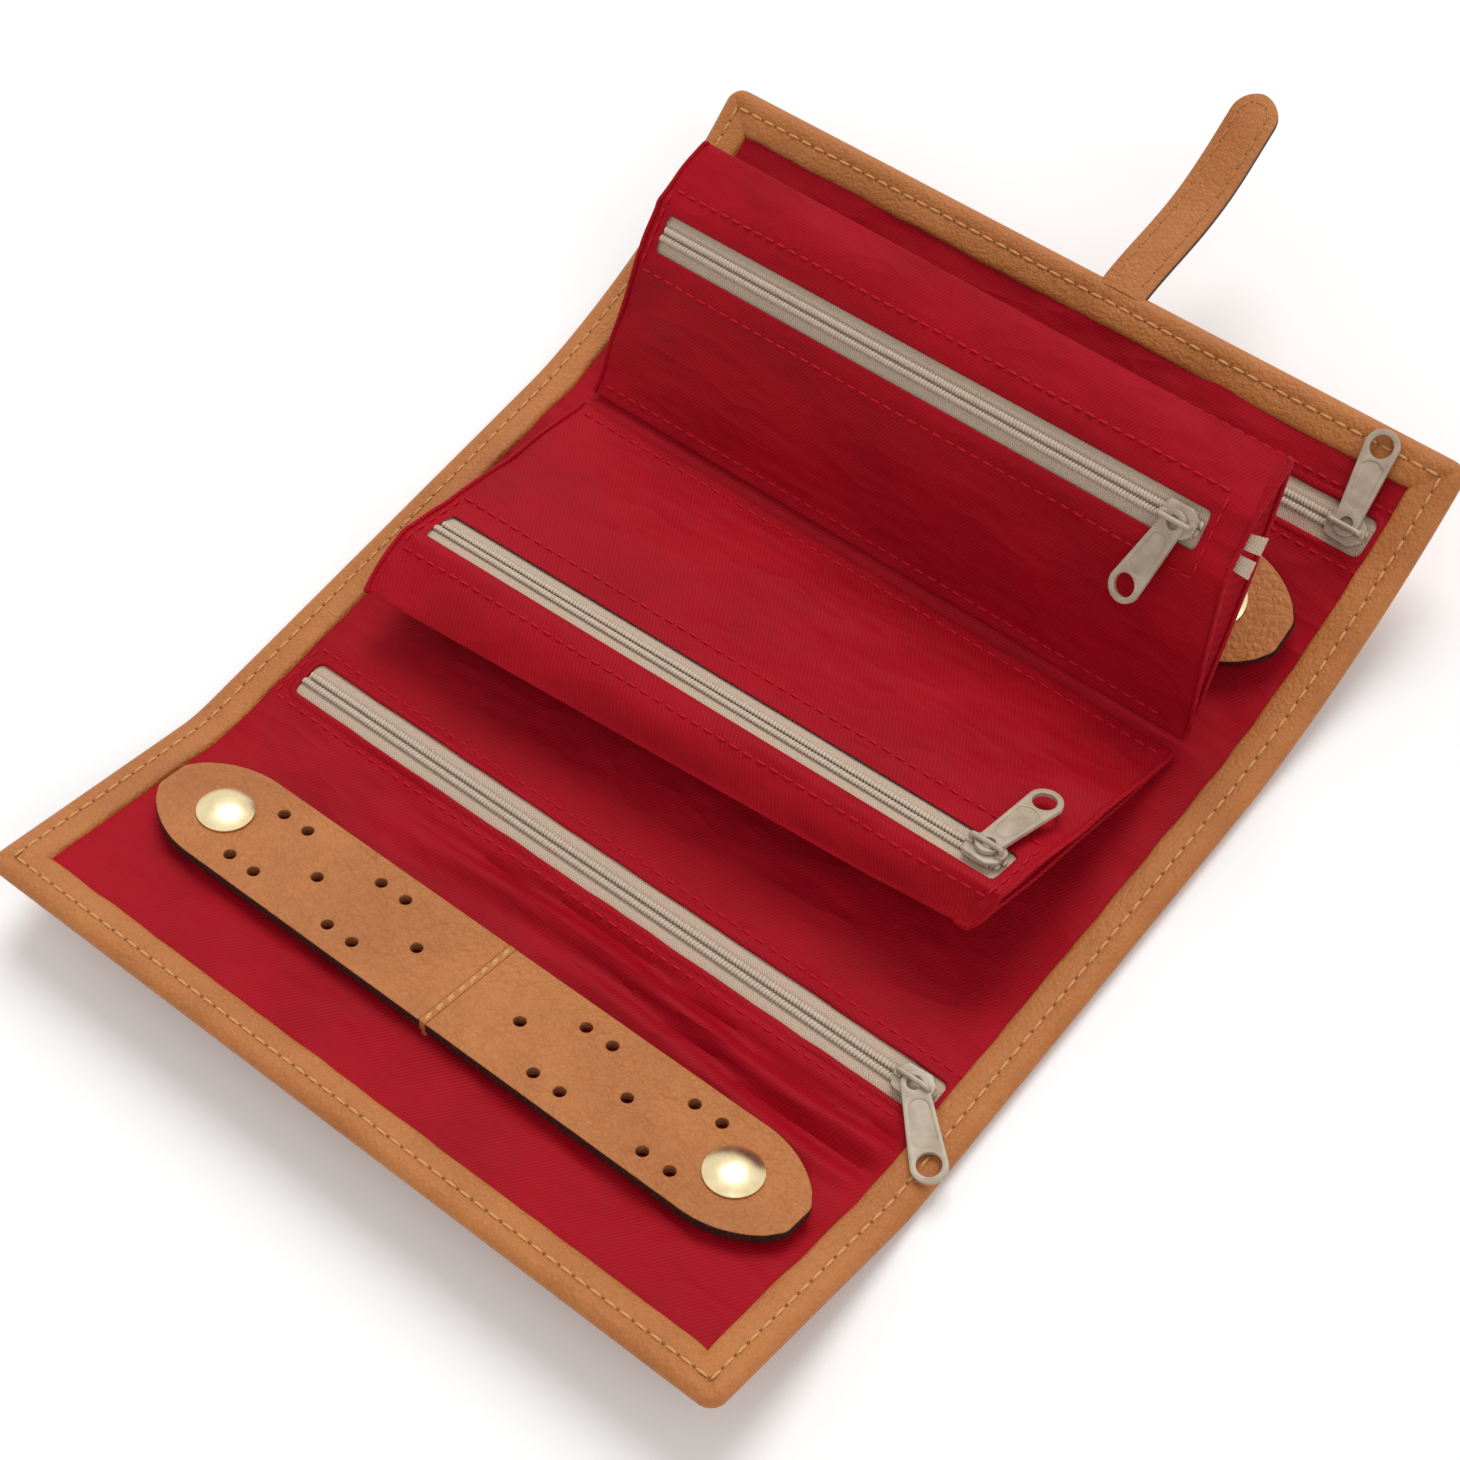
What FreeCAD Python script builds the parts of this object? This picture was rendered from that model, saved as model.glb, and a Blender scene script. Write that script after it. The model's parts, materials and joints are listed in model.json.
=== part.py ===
import FreeCAD, Part
import os
import re
import Sketcher

# A leather jewellery case, opened out flat. Three padded panels lie in a row
# along Y: the near one, the centre one that rests on the table, and the far one.
# X runs across the case, +Z is up, and the origin is the middle of the centre
# panel's underside. Sizes are in millimetres and degrees.

SIZES = {
    # The opened case.
    "case_width": 200,
    "centre_depth": 117,
    "near_depth": 59,
    "far_depth": 81.8,
    "near_tilt": 16.3,
    "far_kink": 6,
    "far_radius": 171,
    "fold_gap": 0.3,
    "corner_radius": 4,
    # The layers of a panel, from the outside in.
    "cover_ply": 1.1,
    "padding_ply": 1.7,
    "lining_ply": 0.35,
    "hem_ply": 1.05,
    "hem_side": 9.5,
    "hem_near": 9.5,
    "hem_far": 11,
    "layer_fit": 0.1,
    # The flat pockets behind the lining, and their zip windows.
    "centre_zip_reach": 22.3,
    "far_zip_reach": 58.7,
    "window_margin": 12.5,
    "window_depth": 8.8,
    "window_shift": 1.5,
    "bag_margin": 5.5,
    "bag_depth": 44,
    "bag_mouth": 10,
    "bag_ply": 0.25,
    # A nylon coil zip.
    "tape_width": 14,
    "tape_ply": 0.35,
    "tape_margin": 2,
    "coil_width": 1.7,
    "coil_height": 1.4,
    "slot_width": 1.2,
    "stop_length": 1.5,
    # Its slider.
    "slider_length": 8.6,
    "slider_width": 7,
    "blade_ply": 1,
    "lower_blade_ply": 0.5,
    "blade_gap": 0.2,
    "flange_ply": 0.8,
    "flange_drop": 0.7,
    "post_width": 0.6,
    "post_length": 2,
    "post_offset": 2.4,
    "bail_span": 7.2,
    "bail_thick": 1.3,
    "slider_clear": 0.9,
    # The pull tab on the slider's bail.
    "knuckle_wall": 0.7,
    "knuckle_length": 3.4,
    "pin_clear": 0.3,
    "tab_length": 22,
    "tab_width": 8,
    "tab_ply": 1.3,
    "tab_hole": 5.4,
    "tab_rim": 1.3,
    "neck_width": 2.4,
    "neck_length": 5,
    # How the four pull tabs lie: turned round the slider, and dropped from level.
    "centre_tab_turn": -133,
    "centre_tab_drop": 5,
    "far_tab_turn": 6,
    "far_tab_drop": 1,
    "near_page_tab_turn": -3,
    "near_page_tab_drop": 5.5,
    "far_page_tab_turn": 162,
    "far_page_tab_drop": 11,
    # The two perforated straps.
    "near_strap_reach": 18.1,
    "far_strap_reach": 31,
    "strap_width": 27,
    "strap_margin": 13.4,
    "strap_ply": 2.6,
    "strap_taper": 18.6,
    "strap_tip": 8.6,
    "bar_width": 1.2,
    "bar_rise": 0.4,
    "flap_gap": 0.3,
    "hole_size": 2.7,
    "snap_steps": 4.91,
    "hole_row": 7.9,
    "hole_pair": 7,
    # The snaps at the ends of the straps.
    "snap_inset": 16.4,
    "cap_size": 12.5,
    "cap_height": 2.4,
    "cap_rim": 0.5,
    "shank_size": 4,
    "socket_size": 10,
    "socket_height": 1.6,
    "socket_roof": 0.1,
    "stud_base": 9,
    "stud_base_ply": 0.5,
    "knob_size": 3.6,
    "snap_clear": 0.3,
    # The two zipped pages sewn in at the far fold.
    "page_left_margin": 16,
    "page_right_margin": 19,
    "page_ply": 0.6,
    "page_root": 1.5,
    "page_lift": 0.3,
    "page_start": 0.3,
    "page_mouth": 3,
    "page_window": 4.4,
    "near_page_zip_left_inset": 4,
    "near_page_zip_right_inset": 4,
    "near_page_left_angle": 9.5,
    "near_page_right_angle": 14,
    "near_page_left_length": 75,
    "near_page_right_length": 68,
    "near_page_zip_tilt": 17,
    "near_page_zip_left_reach": 53.4,
    "near_page_zip_left_rise": 5,
    "near_page_zip_right_reach": 56.3,
    "near_page_zip_right_rise": 8.6,
    "far_page_zip_left_inset": 4,
    "far_page_zip_right_inset": 9,
    "far_page_left_angle": 42,
    "far_page_right_angle": 56,
    "far_page_left_length": 64,
    "far_page_right_length": 68,
    "far_page_zip_tilt": 43,
    "far_page_zip_left_reach": 42,
    "far_page_zip_left_rise": 6,
    "far_page_zip_right_reach": 49.7,
    "far_page_zip_right_rise": 11,
    # The closing tongue on the far edge, and the hidden magnets.
    "tongue_length": 54,
    "tongue_width": 11.6,
    "tongue_ply": 1.1,
    "tongue_shift": 12,
    "tongue_gap": 0.9,
    "tongue_pitch": 13,
    "magnet_size": 9,
    "magnet_ply": 0.8,
    "magnet_reach": 9,
    "closure_reach": 6.5,
}

HALF = "(case_width / 2)"
LINING_LOW = "(cover_ply + padding_ply)"
LINING_TOP = "(cover_ply + padding_ply + lining_ply)"
FOLD = "(cover_ply + padding_ply + lining_ply + hem_ply)"
NEAR_FOLD = "(-centre_depth / 2)"
FAR_FOLD = "(centre_depth / 2)"
INNER_HALF = f"({HALF} - cover_ply - layer_fit)"
BEND = "(180 / pi / far_radius)"
WINDOW_LENGTH = "(case_width - 2 * window_margin)"
BAG_HALF = f"({WINDOW_LENGTH} / 2 + bag_margin)"
STRAP_HALF = f"({HALF} - strap_margin)"
SNAP_REACH = f"({STRAP_HALF} - snap_inset)"
HOLE_PITCH = f"({SNAP_REACH} / snap_steps)"
PAGE_LEFT = f"({HALF} - page_left_margin)"
PAGE_RIGHT = f"({HALF} - page_right_margin)"

doc = FreeCAD.newDocument("jewellery_case")
sheet = doc.addObject("Spreadsheet::Sheet", "sizes")
for row, (word, size) in enumerate(SIZES.items(), start=1):
    sheet.set(f"A{row}", word)
    sheet.set(f"B{row}", str(size))
    sheet.setAlias(f"B{row}", word)
doc.recompute()

nodes = []
seats = {}


def linked(text):
    """The same formula with each size read from the sheet."""
    return re.sub(r"[a-z_]+", lambda found: "sizes." * (found.group() in SIZES) + found.group(), text)


def bind(thing, target, text):
    thing.setExpression(target, linked(text))


def value(text):
    return float(sheet.evalExpression(linked(text)))


def turn(angle, y, z):
    """A turn about the X line through (y, z), as a formula."""
    return f"placement(vector(0; 0; 0); rotation(vector(1; 0; 0); {angle}); vector(0; {y}; {z}))"


NEAR_LIFT = turn("-near_tilt", NEAR_FOLD, FOLD)
FAR_KINK = turn("far_kink", FAR_FOLD, FOLD)


def along_far(reach):
    """From the far fold line to a place on the far panel's curve."""
    return f"{FAR_KINK} * {turn(f'({reach}) * {BEND}', FAR_FOLD, f'({FOLD} + far_radius)')}"


def seat(thing, formula):
    """Put a plain block or round where it is built."""
    seats[thing.Name] = formula
    bind(thing, "Placement", formula)
    return thing


def node(thing, label, place=None):
    """Name a finished piece and put it in its place."""
    thing.Label = label
    if place:
        built = seats.get(thing.Name)
        bind(thing, "Placement", f"{place} * {built}" if built else place)
    nodes.append(thing)
    return thing


def box(low, high):
    """A block between two corners given as formulas."""
    block = doc.addObject("Part::Box", "block")
    for side, start, end in zip(("Length", "Width", "Height"), low, high):
        bind(block, side, f"({end}) - ({start})")
    return seat(block, f"placement(vector({low[0]}; {low[1]}; {low[2]}); rotation(vector(0; 0; 1); 0))")


def slab(half, back, front, low, high):
    """A block centred on X."""
    return box((f"-({half})", back, low), (half, front, high))


def disc(x, y, size, low, high):
    """An upright round of a given diameter."""
    drum = doc.addObject("Part::Cylinder", "drum")
    bind(drum, "Radius", f"({size}) / 2")
    bind(drum, "Height", f"({high}) - ({low})")
    return seat(drum, f"placement(vector({x}; {y}; {low}); rotation(vector(0; 0; 1); 0))")


def rod(x, half, y, z, size):
    """A round bar along X."""
    bar = doc.addObject("Part::Cylinder", "bar")
    bind(bar, "Radius", f"({size}) / 2")
    bind(bar, "Height", f"2 * ({half})")
    return seat(bar, f"placement(vector({x} - ({half}); {y}; {z}); rotation(vector(0; 1; 0); 90))")


def bent(half, start, end, low, high):
    """A block rolled along the far panel's curve, before the kink."""
    pieces = []
    spans = ((low, start, f"({end}) - ({start})"), (high, "-far_depth / 2", "2 * far_depth"))
    for level, first, reach in spans:
        drum = doc.addObject("Part::Cylinder", "sector")
        bind(drum, "Radius", f"far_radius + {FOLD} - ({level})")
        bind(drum, "Height", f"2 * ({half})")
        bind(drum, "Angle", f"({reach}) * {BEND}")
        spin = f"rotation(vector(1; 0; 0); ({first}) * {BEND}) * rotation(vector(0; 1; 0); 90)"
        bind(drum, "Placement", f"placement(vector(-({half}); {FAR_FOLD}; {FOLD} + far_radius); {spin})")
        pieces.append(drum)
    return cut(*pieces)


def cut(base, *tools):
    for tool in tools:
        result = doc.addObject("Part::Cut", "cut")
        result.Base = base
        result.Tool = tool
        base = result
    return base


def fuse(*pieces):
    result = doc.addObject("Part::MultiFuse", "fuse")
    result.Shapes = list(pieces)
    result.Refine = True
    return result


def rounded(base, margin):
    """Round the two outer corners of a layer, set in by a margin from the panel's edges."""
    doc.recompute()
    half = value(f"{HALF} - ({margin})")
    reach = max((abs(corner.Point.y) for corner in base.Shape.Vertexes))
    radius = value(f"corner_radius - ({margin})")
    tallest = value(f"2 * {FOLD}")
    fillet = doc.addObject("Part::Fillet", "fillet")
    fillet.Base = base
    fillet.Edges = [
        (number, radius, radius)
        for number, edge in enumerate(base.Shape.Edges, start=1)
        if edge.Length < tallest
        and abs(edge.CenterOfMass.x) > half - radius / 2
        and abs(edge.CenterOfMass.y) > reach - radius / 2
    ]
    return fillet


def sketch_in(body, role, offset=None):
    sketch = body.newObject("Sketcher::SketchObject", "sketch")
    plane = next(flat for flat in body.Origin.OriginFeatures if flat.Role == role)
    sketch.AttachmentSupport = [(plane, "")]
    sketch.MapMode = "FlatFace"
    if offset:
        bind(sketch, "AttachmentOffset", offset)
    return sketch


def pin_down(sketch, line, end, x, y):
    """Bind one end of a line to two formulas."""
    for kind, text in (("DistanceX", x), ("DistanceY", y)):
        limit = sketch.addConstraint(Sketcher.Constraint(kind, -1, 1, line, end, value(text)))
        bind(sketch, f"Constraints[{limit}]", text)


def polygon(sketch, corners):
    """A closed outline of straight lines, with every corner bound."""
    spots = [FreeCAD.Vector(value(x), value(y), 0) for x, y in corners]
    count = len(spots)
    for line in range(count):
        sketch.addGeometry(Part.LineSegment(spots[line], spots[(line + 1) % count]))
    for line in range(count):
        sketch.addConstraint(Sketcher.Constraint("Coincident", line, 2, (line + 1) % count, 1))
    for line, (x, y) in enumerate(corners):
        pin_down(sketch, line, 1, x, y)


def rings(sketch, centres, size):
    """Round holes, each bound to its centre and diameter."""
    for x, y in centres:
        spot = FreeCAD.Vector(value(x), value(y), 0)
        ring = sketch.addGeometry(Part.Circle(spot, FreeCAD.Vector(0, 0, 1), value(size) / 2))
        pin_down(sketch, ring, 3, x, y)
        limit = sketch.addConstraint(Sketcher.Constraint("Diameter", ring, value(size)))
        bind(sketch, f"Constraints[{limit}]", size)


# The centre panel: a leather cover whose sides turn in over the lining.
def centre_panel():
    back = f"{NEAR_FOLD} + fold_gap / 2"
    front = f"{FAR_FOLD} - fold_gap / 2"
    past = "(centre_depth)"
    zip_line = f"({NEAR_FOLD} + centre_zip_reach)"
    mouth = f"{zip_line} - bag_mouth"
    closure = ("tongue_shift", f"{NEAR_FOLD} + closure_reach")
    cover = cut(
        slab(HALF, back, front, "0", FOLD),
        slab(f"{HALF} - cover_ply", f"-{past}", past, "cover_ply", LINING_TOP),
        slab(f"{HALF} - hem_side", f"-{past}", past, LINING_TOP, f"{FOLD} + hem_ply"),
    )
    node(cover, "centre_cover")
    padding = cut(
        slab(INNER_HALF, back, front, "cover_ply", LINING_LOW),
        slab(f"{BAG_HALF} + layer_fit", f"{mouth} - layer_fit", f"{mouth} + bag_depth + layer_fit",
             "0", FOLD),
        disc(*closure, "magnet_size + 2 * layer_fit", "0", FOLD),
    )
    node(padding, "centre_padding")
    node(disc(*closure, "magnet_size", "cover_ply", "cover_ply + magnet_ply"), "closure_magnet")
    window = box(
        (f"window_shift - {WINDOW_LENGTH} / 2", f"{zip_line} - window_depth / 2", LINING_LOW),
        (f"window_shift + {WINDOW_LENGTH} / 2", f"{zip_line} + window_depth / 2", FOLD),
    )
    node(cut(slab(INNER_HALF, back, front, LINING_LOW, LINING_TOP), window), "centre_lining")
    bag = cut(
        slab(BAG_HALF, mouth, f"{mouth} + bag_depth", "cover_ply", LINING_LOW),
        slab(f"{BAG_HALF} - bag_ply", f"{mouth} + bag_ply", f"{mouth} + bag_depth - bag_ply",
             "cover_ply + bag_ply", FOLD),
    )
    node(bag, "centre_pocket_bag")
    place = f"placement(vector(window_shift; {zip_line}; {LINING_LOW}); rotation(vector(0; 0; 1); 0))"
    zip_fastener("centre", WINDOW_LENGTH, place, "centre_tab")


# The near panel, laid flat beside the centre one and then lifted at the fold.
def near_layer(margin, front, low, high):
    back = f"{NEAR_FOLD} - near_depth + {margin}"
    return rounded(slab(f"{HALF} - ({margin})", back, front, low, high), margin)


def near_panel():
    front = f"{NEAR_FOLD} - fold_gap / 2"
    cover = cut(
        near_layer("0", front, "0", FOLD),
        near_layer("cover_ply", "0", "cover_ply", LINING_TOP),
        slab(f"{HALF} - hem_side", f"{NEAR_FOLD} - near_depth + hem_near", "0",
             LINING_TOP, f"{FOLD} + hem_ply"),
    )
    node(cover, "near_cover", NEAR_LIFT)
    inset = "(cover_ply + layer_fit)"
    node(near_layer(inset, front, "cover_ply", LINING_LOW), "near_padding", NEAR_LIFT)
    node(near_layer(inset, front, LINING_LOW, LINING_TOP), "near_lining", NEAR_LIFT)
    strap("near", f"({NEAR_FOLD} - near_strap_reach)", "0", NEAR_LIFT)


# The far panel, rolled up from the table towards its free edge.
def far_layer(margin, start, low, high):
    return rounded(bent(f"{HALF} - ({margin})", start, f"far_depth - {margin}", low, high), margin)


def far_panel():
    start = "fold_gap / 2"
    before = "-hem_far"
    zip_line = "far_zip_reach"
    mouth = f"{zip_line} + bag_mouth - bag_depth"
    cover = cut(
        far_layer("0", start, "0", FOLD),
        far_layer("cover_ply", before, "cover_ply", LINING_TOP),
        bent(f"{HALF} - hem_side", before, "far_depth - hem_far", LINING_TOP, f"{FOLD} + hem_ply"),
    )
    node(cover, "far_cover", FAR_KINK)
    inset = "(cover_ply + layer_fit)"
    padding = cut(
        far_layer(inset, start, "cover_ply", LINING_LOW),
        bent(f"{BAG_HALF} + layer_fit", f"{mouth} - layer_fit", f"{mouth} + bag_depth + layer_fit",
             "0", FOLD),
    )
    node(padding, "far_padding", FAR_KINK)
    edge = "window_depth / 2"
    window = bent(f"{WINDOW_LENGTH} / 2", f"{zip_line} - {edge}", f"{zip_line} + {edge}", "0", FOLD)
    bind(window, "Placement.Base.x", "window_shift")
    node(cut(far_layer(inset, start, LINING_LOW, LINING_TOP), window), "far_lining", FAR_KINK)
    bag = cut(
        bent(BAG_HALF, mouth, f"{mouth} + bag_depth", "cover_ply + layer_fit", LINING_LOW),
        bent(f"{BAG_HALF} - bag_ply", f"{mouth} + bag_ply", f"{mouth} + bag_depth - bag_ply",
             "cover_ply + layer_fit + bag_ply", FOLD),
    )
    node(bag, "far_pocket_bag", FAR_KINK)
    spot = f"placement(vector(window_shift; {FAR_FOLD}; {LINING_LOW}); rotation(vector(0; 0; 1); 0))"
    zip_fastener("far", WINDOW_LENGTH, f"{along_far(zip_line)} * {spot}", "far_tab")
    strap("far", FAR_FOLD, "strap_width ^ 2 / 8 / far_radius + layer_fit", along_far("far_strap_reach"))


# A zip lies along its own X line, with the tape's upper face at Z zero.
def zip_fastener(name, length, place, tab):
    half = f"({length}) / 2"
    tape = cut(
        slab(f"{half} + tape_margin", "-tape_width / 2", "tape_width / 2", "-tape_ply", "0"),
        slab(f"{half} - stop_length", "-slot_width / 2", "slot_width / 2", "-2 * tape_ply", "tape_ply"),
    )
    node(tape, f"{name}_zip_tapes", place)
    edge = "(slot_width / 2 + coil_width)"
    coils = cut(
        slab(half, f"-{edge}", edge, "0", "coil_height"),
        box((f"stop_length - {half}", "-slot_width / 2", "-coil_height"),
            (f"{half} + stop_length", "slot_width / 2", "2 * coil_height")),
    )
    node(coils, f"{name}_zip_coils", place)
    slider(name, f"({half} - slider_clear - slider_length / 2)", edge, place)
    pull_tab(name, f"({half} - slider_clear - slider_length / 2)", place, tab)


BLADE = "(coil_height + blade_gap)"
PIN = f"({BLADE} + blade_ply + pin_clear + knuckle_wall + pin_clear + bail_thick / 2)"


def slider(name, x, edge, place):
    """Two blades on a post that runs in the slot, with a bail on top."""
    left = f"{x} - slider_length / 2"
    right = f"{x} + slider_length / 2"
    side = "slider_width / 2"
    upper = box((left, f"-{side}", BLADE), (right, side, f"{BLADE} + blade_ply"))
    flanges = [
        box((left, low, f"{BLADE} - flange_drop"), (right, high, BLADE))
        for low, high in ((f"-{side}", f"-{side} + flange_ply"), (f"{side} - flange_ply", side))
    ]
    floor = "(-tape_ply - blade_gap)"
    lower = box((left, f"-{edge}", f"{floor} - lower_blade_ply"), (right, edge, floor))
    nose = f"{x} + post_offset"
    post = box((f"{nose} - post_length / 2", "-post_width / 2", floor),
               (f"{nose} + post_length / 2", "post_width / 2", BLADE))
    legs = [
        box((f"{at} - bail_thick / 2", "-bail_thick / 2", f"{BLADE} + blade_ply"),
            (f"{at} + bail_thick / 2", "bail_thick / 2", f"{PIN} + bail_thick / 2"))
        for at in (f"{x} - bail_span / 2", f"{x} + bail_span / 2")
    ]
    pin = rod(x, "bail_span / 2", "0", PIN, "bail_thick")
    node(fuse(upper, *flanges, lower, post, *legs, pin), f"{name}_zip_slider", place)


def pull_tab(name, x, place, tab):
    """A flat tab with a round hole, hung on the bail by a knuckle."""
    bore = "(bail_thick + 2 * pin_clear)"
    barrel = rod("0", "knuckle_length / 2", "0", "0", f"{bore} + 2 * knuckle_wall")
    tip = "(tab_length - tab_width / 2)"
    layer = ("-tab_ply / 2", "tab_ply / 2")
    whole = f"{tip} + tab_width / 2 - tab_rim - tab_hole / 2"
    leaf = cut(
        fuse(
            slab("neck_width / 2", "0", "neck_length + neck_width", *layer),
            slab("tab_width / 2", "neck_length", tip, *layer),
            disc("0", tip, "tab_width", *layer),
        ),
        disc("0", whole, "tab_hole", "-tab_ply", "tab_ply"),
    )
    lie = f"rotation(vector(0; 0; 1); {tab}_turn) * rotation(vector(1; 0; 0); -{tab}_drop)"
    bind(leaf, "Placement", f"placement(vector(0; 0; 0); {lie})")
    body = cut(fuse(barrel, leaf), rod("0", "knuckle_length", "0", "0", bore))
    hung = f"{place} * placement(vector({x}; 0; {PIN}); rotation(vector(0; 0; 1); 0))"
    node(body, f"{name}_zip_pull", hung)


# A strap is two flaps on either side of a stitched bar, each ending in a snap.
def strap(name, y, rise, place):
    floor = f"({LINING_TOP} + {rise})"
    under = f"({floor} + stud_base_ply + snap_clear + socket_height)"
    bar = slab("bar_width / 2", f"{y} - strap_width / 2", f"{y} + strap_width / 2", floor,
               f"{under} + strap_ply + bar_rise")
    node(bar, f"{name}_strap_bar", place)
    for side, sign in (("left", "-1"), ("right", "1")):
        spot = (f"{sign} * {SNAP_REACH}", y)
        base = disc(*spot, "stud_base", floor, f"{floor} + stud_base_ply")
        knob = disc(*spot, "knob_size", floor, f"{under} - socket_roof - snap_clear")
        node(fuse(base, knob), f"{name}_{side}_stud", place)
        half_turn = f"rotation(vector(0; 0; 1); 90 - 90 * {sign})"
        hung = f"{place} * placement(vector(0; {y}; {under}); {half_turn})"
        node(strap_flap(), f"{name}_{side}_flap", hung)
        node(snap_cap(), f"{name}_{side}_cap", hung)


def strap_flap():
    """One half of a strap, from the bar along +X to its narrowed tip."""
    body = doc.addObject("PartDesign::Body", "flap")
    sketch = sketch_in(body, "XY_Plane")
    root = "(bar_width / 2 + flap_gap)"
    straight = f"({STRAP_HALF} - strap_taper)"
    edge = "strap_width / 2"
    tip = "strap_tip / 2"
    corners = [(root, f"-{edge}"), (straight, f"-{edge}"), (STRAP_HALF, f"-{tip}"),
               (STRAP_HALF, tip), (straight, edge), (root, edge)]
    spots = [FreeCAD.Vector(value(x), value(y), 0) for x, y in corners]
    drop = value(f"{edge} - {tip}")
    radius = (value("strap_taper") ** 2 + drop ** 2) / (2 * drop)
    lower = FreeCAD.Vector(spots[1].x, spots[1].y + radius, 0)
    upper = FreeCAD.Vector(spots[4].x, spots[4].y - radius, 0)

    def bow(centre, start, end):
        middle = (start + end) * 0.5 - centre
        return Part.Arc(start, centre + middle.normalize() * radius, end)

    sketch.addGeometry(Part.LineSegment(spots[0], spots[1]))
    sketch.addGeometry(bow(lower, spots[1], spots[2]))
    sketch.addGeometry(Part.LineSegment(spots[2], spots[3]))
    sketch.addGeometry(bow(upper, spots[3], spots[4]))
    sketch.addGeometry(Part.LineSegment(spots[4], spots[5]))
    sketch.addGeometry(Part.LineSegment(spots[5], spots[0]))
    sketch.addConstraint(Sketcher.Constraint("Tangent", 0, 2, 1, 1))
    sketch.addConstraint(Sketcher.Constraint("Coincident", 1, 2, 2, 1))
    sketch.addConstraint(Sketcher.Constraint("Coincident", 2, 2, 3, 1))
    sketch.addConstraint(Sketcher.Constraint("Tangent", 3, 2, 4, 1))
    sketch.addConstraint(Sketcher.Constraint("Coincident", 4, 2, 5, 1))
    sketch.addConstraint(Sketcher.Constraint("Coincident", 5, 2, 0, 1))
    pin_down(sketch, 0, 1, *corners[0])
    pin_down(sketch, 0, 2, *corners[1])
    pin_down(sketch, 2, 1, *corners[2])
    pin_down(sketch, 2, 2, *corners[3])
    pin_down(sketch, 4, 1, *corners[4])
    pin_down(sketch, 4, 2, *corners[5])
    pad = body.newObject("PartDesign::Pad", "pad")
    pad.Profile = sketch
    bind(pad, "Length", "strap_ply")
    punched = sketch_in(body, "XY_Plane")
    singles = [(f"{step} * {HOLE_PITCH}", "0") for step in (1, 3)]
    pairs = [(f"{step} * {HOLE_PITCH} + {shift} * hole_pair / 2", f"{row} * hole_row")
             for step in (2, 4) for shift in (-1, 1) for row in (-1, 1)]
    rings(punched, singles + pairs, "hole_size")
    rings(punched, [(SNAP_REACH, "0")], "shank_size + 2 * layer_fit")
    pocket = body.newObject("PartDesign::Pocket", "pocket")
    pocket.Profile = punched
    pocket.Type = "ThroughAll"
    pocket.Reversed = True
    return body


def snap_cap():
    """A domed cap, its shank through the strap and the socket below."""
    body = doc.addObject("PartDesign::Body", "cap")
    spot = f"placement(vector({SNAP_REACH}; 0; 0); rotation(vector(0; 0; 1); 0))"
    sketch = sketch_in(body, "XZ_Plane", spot)
    bore = "knob_size / 2 + snap_clear"
    rim = "strap_ply + cap_rim"
    crown = "strap_ply + cap_height"
    corners = [("cap_size / 2", rim), ("cap_size / 2", "strap_ply"), ("shank_size / 2", "strap_ply"),
               ("shank_size / 2", "0"), ("socket_size / 2", "0"), ("socket_size / 2", "-socket_height"),
               (bore, "-socket_height"), (bore, "-socket_roof"), ("0", "-socket_roof"), ("0", crown)]
    spots = [FreeCAD.Vector(value(x), value(y), 0) for x, y in corners]
    last = len(spots) - 1
    for line in range(last):
        sketch.addGeometry(Part.LineSegment(spots[line], spots[line + 1]))
    rise = spots[last].y - spots[0].y
    radius = (spots[0].x ** 2 + rise ** 2) / (2 * rise)
    centre = FreeCAD.Vector(0, spots[last].y - radius, 0)
    middle = ((spots[0] + spots[last]) * 0.5 - centre).normalize()
    sketch.addGeometry(Part.Arc(spots[0], centre + middle * radius, spots[last]))
    for line in range(last):
        joined = (line + 1, 1) if line + 1 < last else (last, 2)
        sketch.addConstraint(Sketcher.Constraint("Coincident", line, 2, *joined))
        pin_down(sketch, line, 1, *corners[line])
    sketch.addConstraint(Sketcher.Constraint("Coincident", last, 1, 0, 1))
    pin_down(sketch, last, 2, *corners[last])
    sketch.addConstraint(Sketcher.Constraint("PointOnObject", last, 3, -2))
    spun = body.newObject("PartDesign::Revolution", "spun")
    spun.Profile = sketch
    spun.ReferenceAxis = (sketch, ["V_Axis"])
    spun.Angle = 360
    return body


# A page is a flat zipped pouch. Its section, in the page's own run and rise from
# the hinge line, is given at its left and right ends and ruled between them.
def page_loft(ends, section):
    body = doc.addObject("PartDesign::Body", "sheet")
    profiles = []
    for end in ends:
        offset = (f"placement(vector(0; 0; {end['x']});"
                  f" rotation(vector(0; 0; 1); {end['facing']} * ({end['angle']})))")
        sketch = sketch_in(body, "YZ_Plane", offset)
        polygon(sketch, [(f"{end['facing']} * ({run})", rise) for run, rise in section(end)])
        profiles.append(sketch)
    doc.recompute()
    loft = body.newObject("PartDesign::AdditiveLoft", "loft")
    loft.Profile = profiles[0]
    loft.Sections = profiles[1:]
    loft.Ruled = True
    return body


def on_zip(end, along, rise):
    """A point beside the zip's middle, measured along and off the tape."""
    lean = f"({end['tilt']} - {end['angle']})"
    run = f"{end['zip_reach']} + ({along}) * cos({lean}) - ({rise}) * sin({lean})"
    height = f"{end['zip_rise']} + ({along}) * sin({lean}) + ({rise}) * cos({lean})"
    return run, height


TAPE_EDGE = "(tape_width / 2 + layer_fit)"


def back_section(end):
    return [("page_start", "0"), (end["length"], "0"),
            (end["length"], "page_ply"), ("page_start", "page_ply")]


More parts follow.
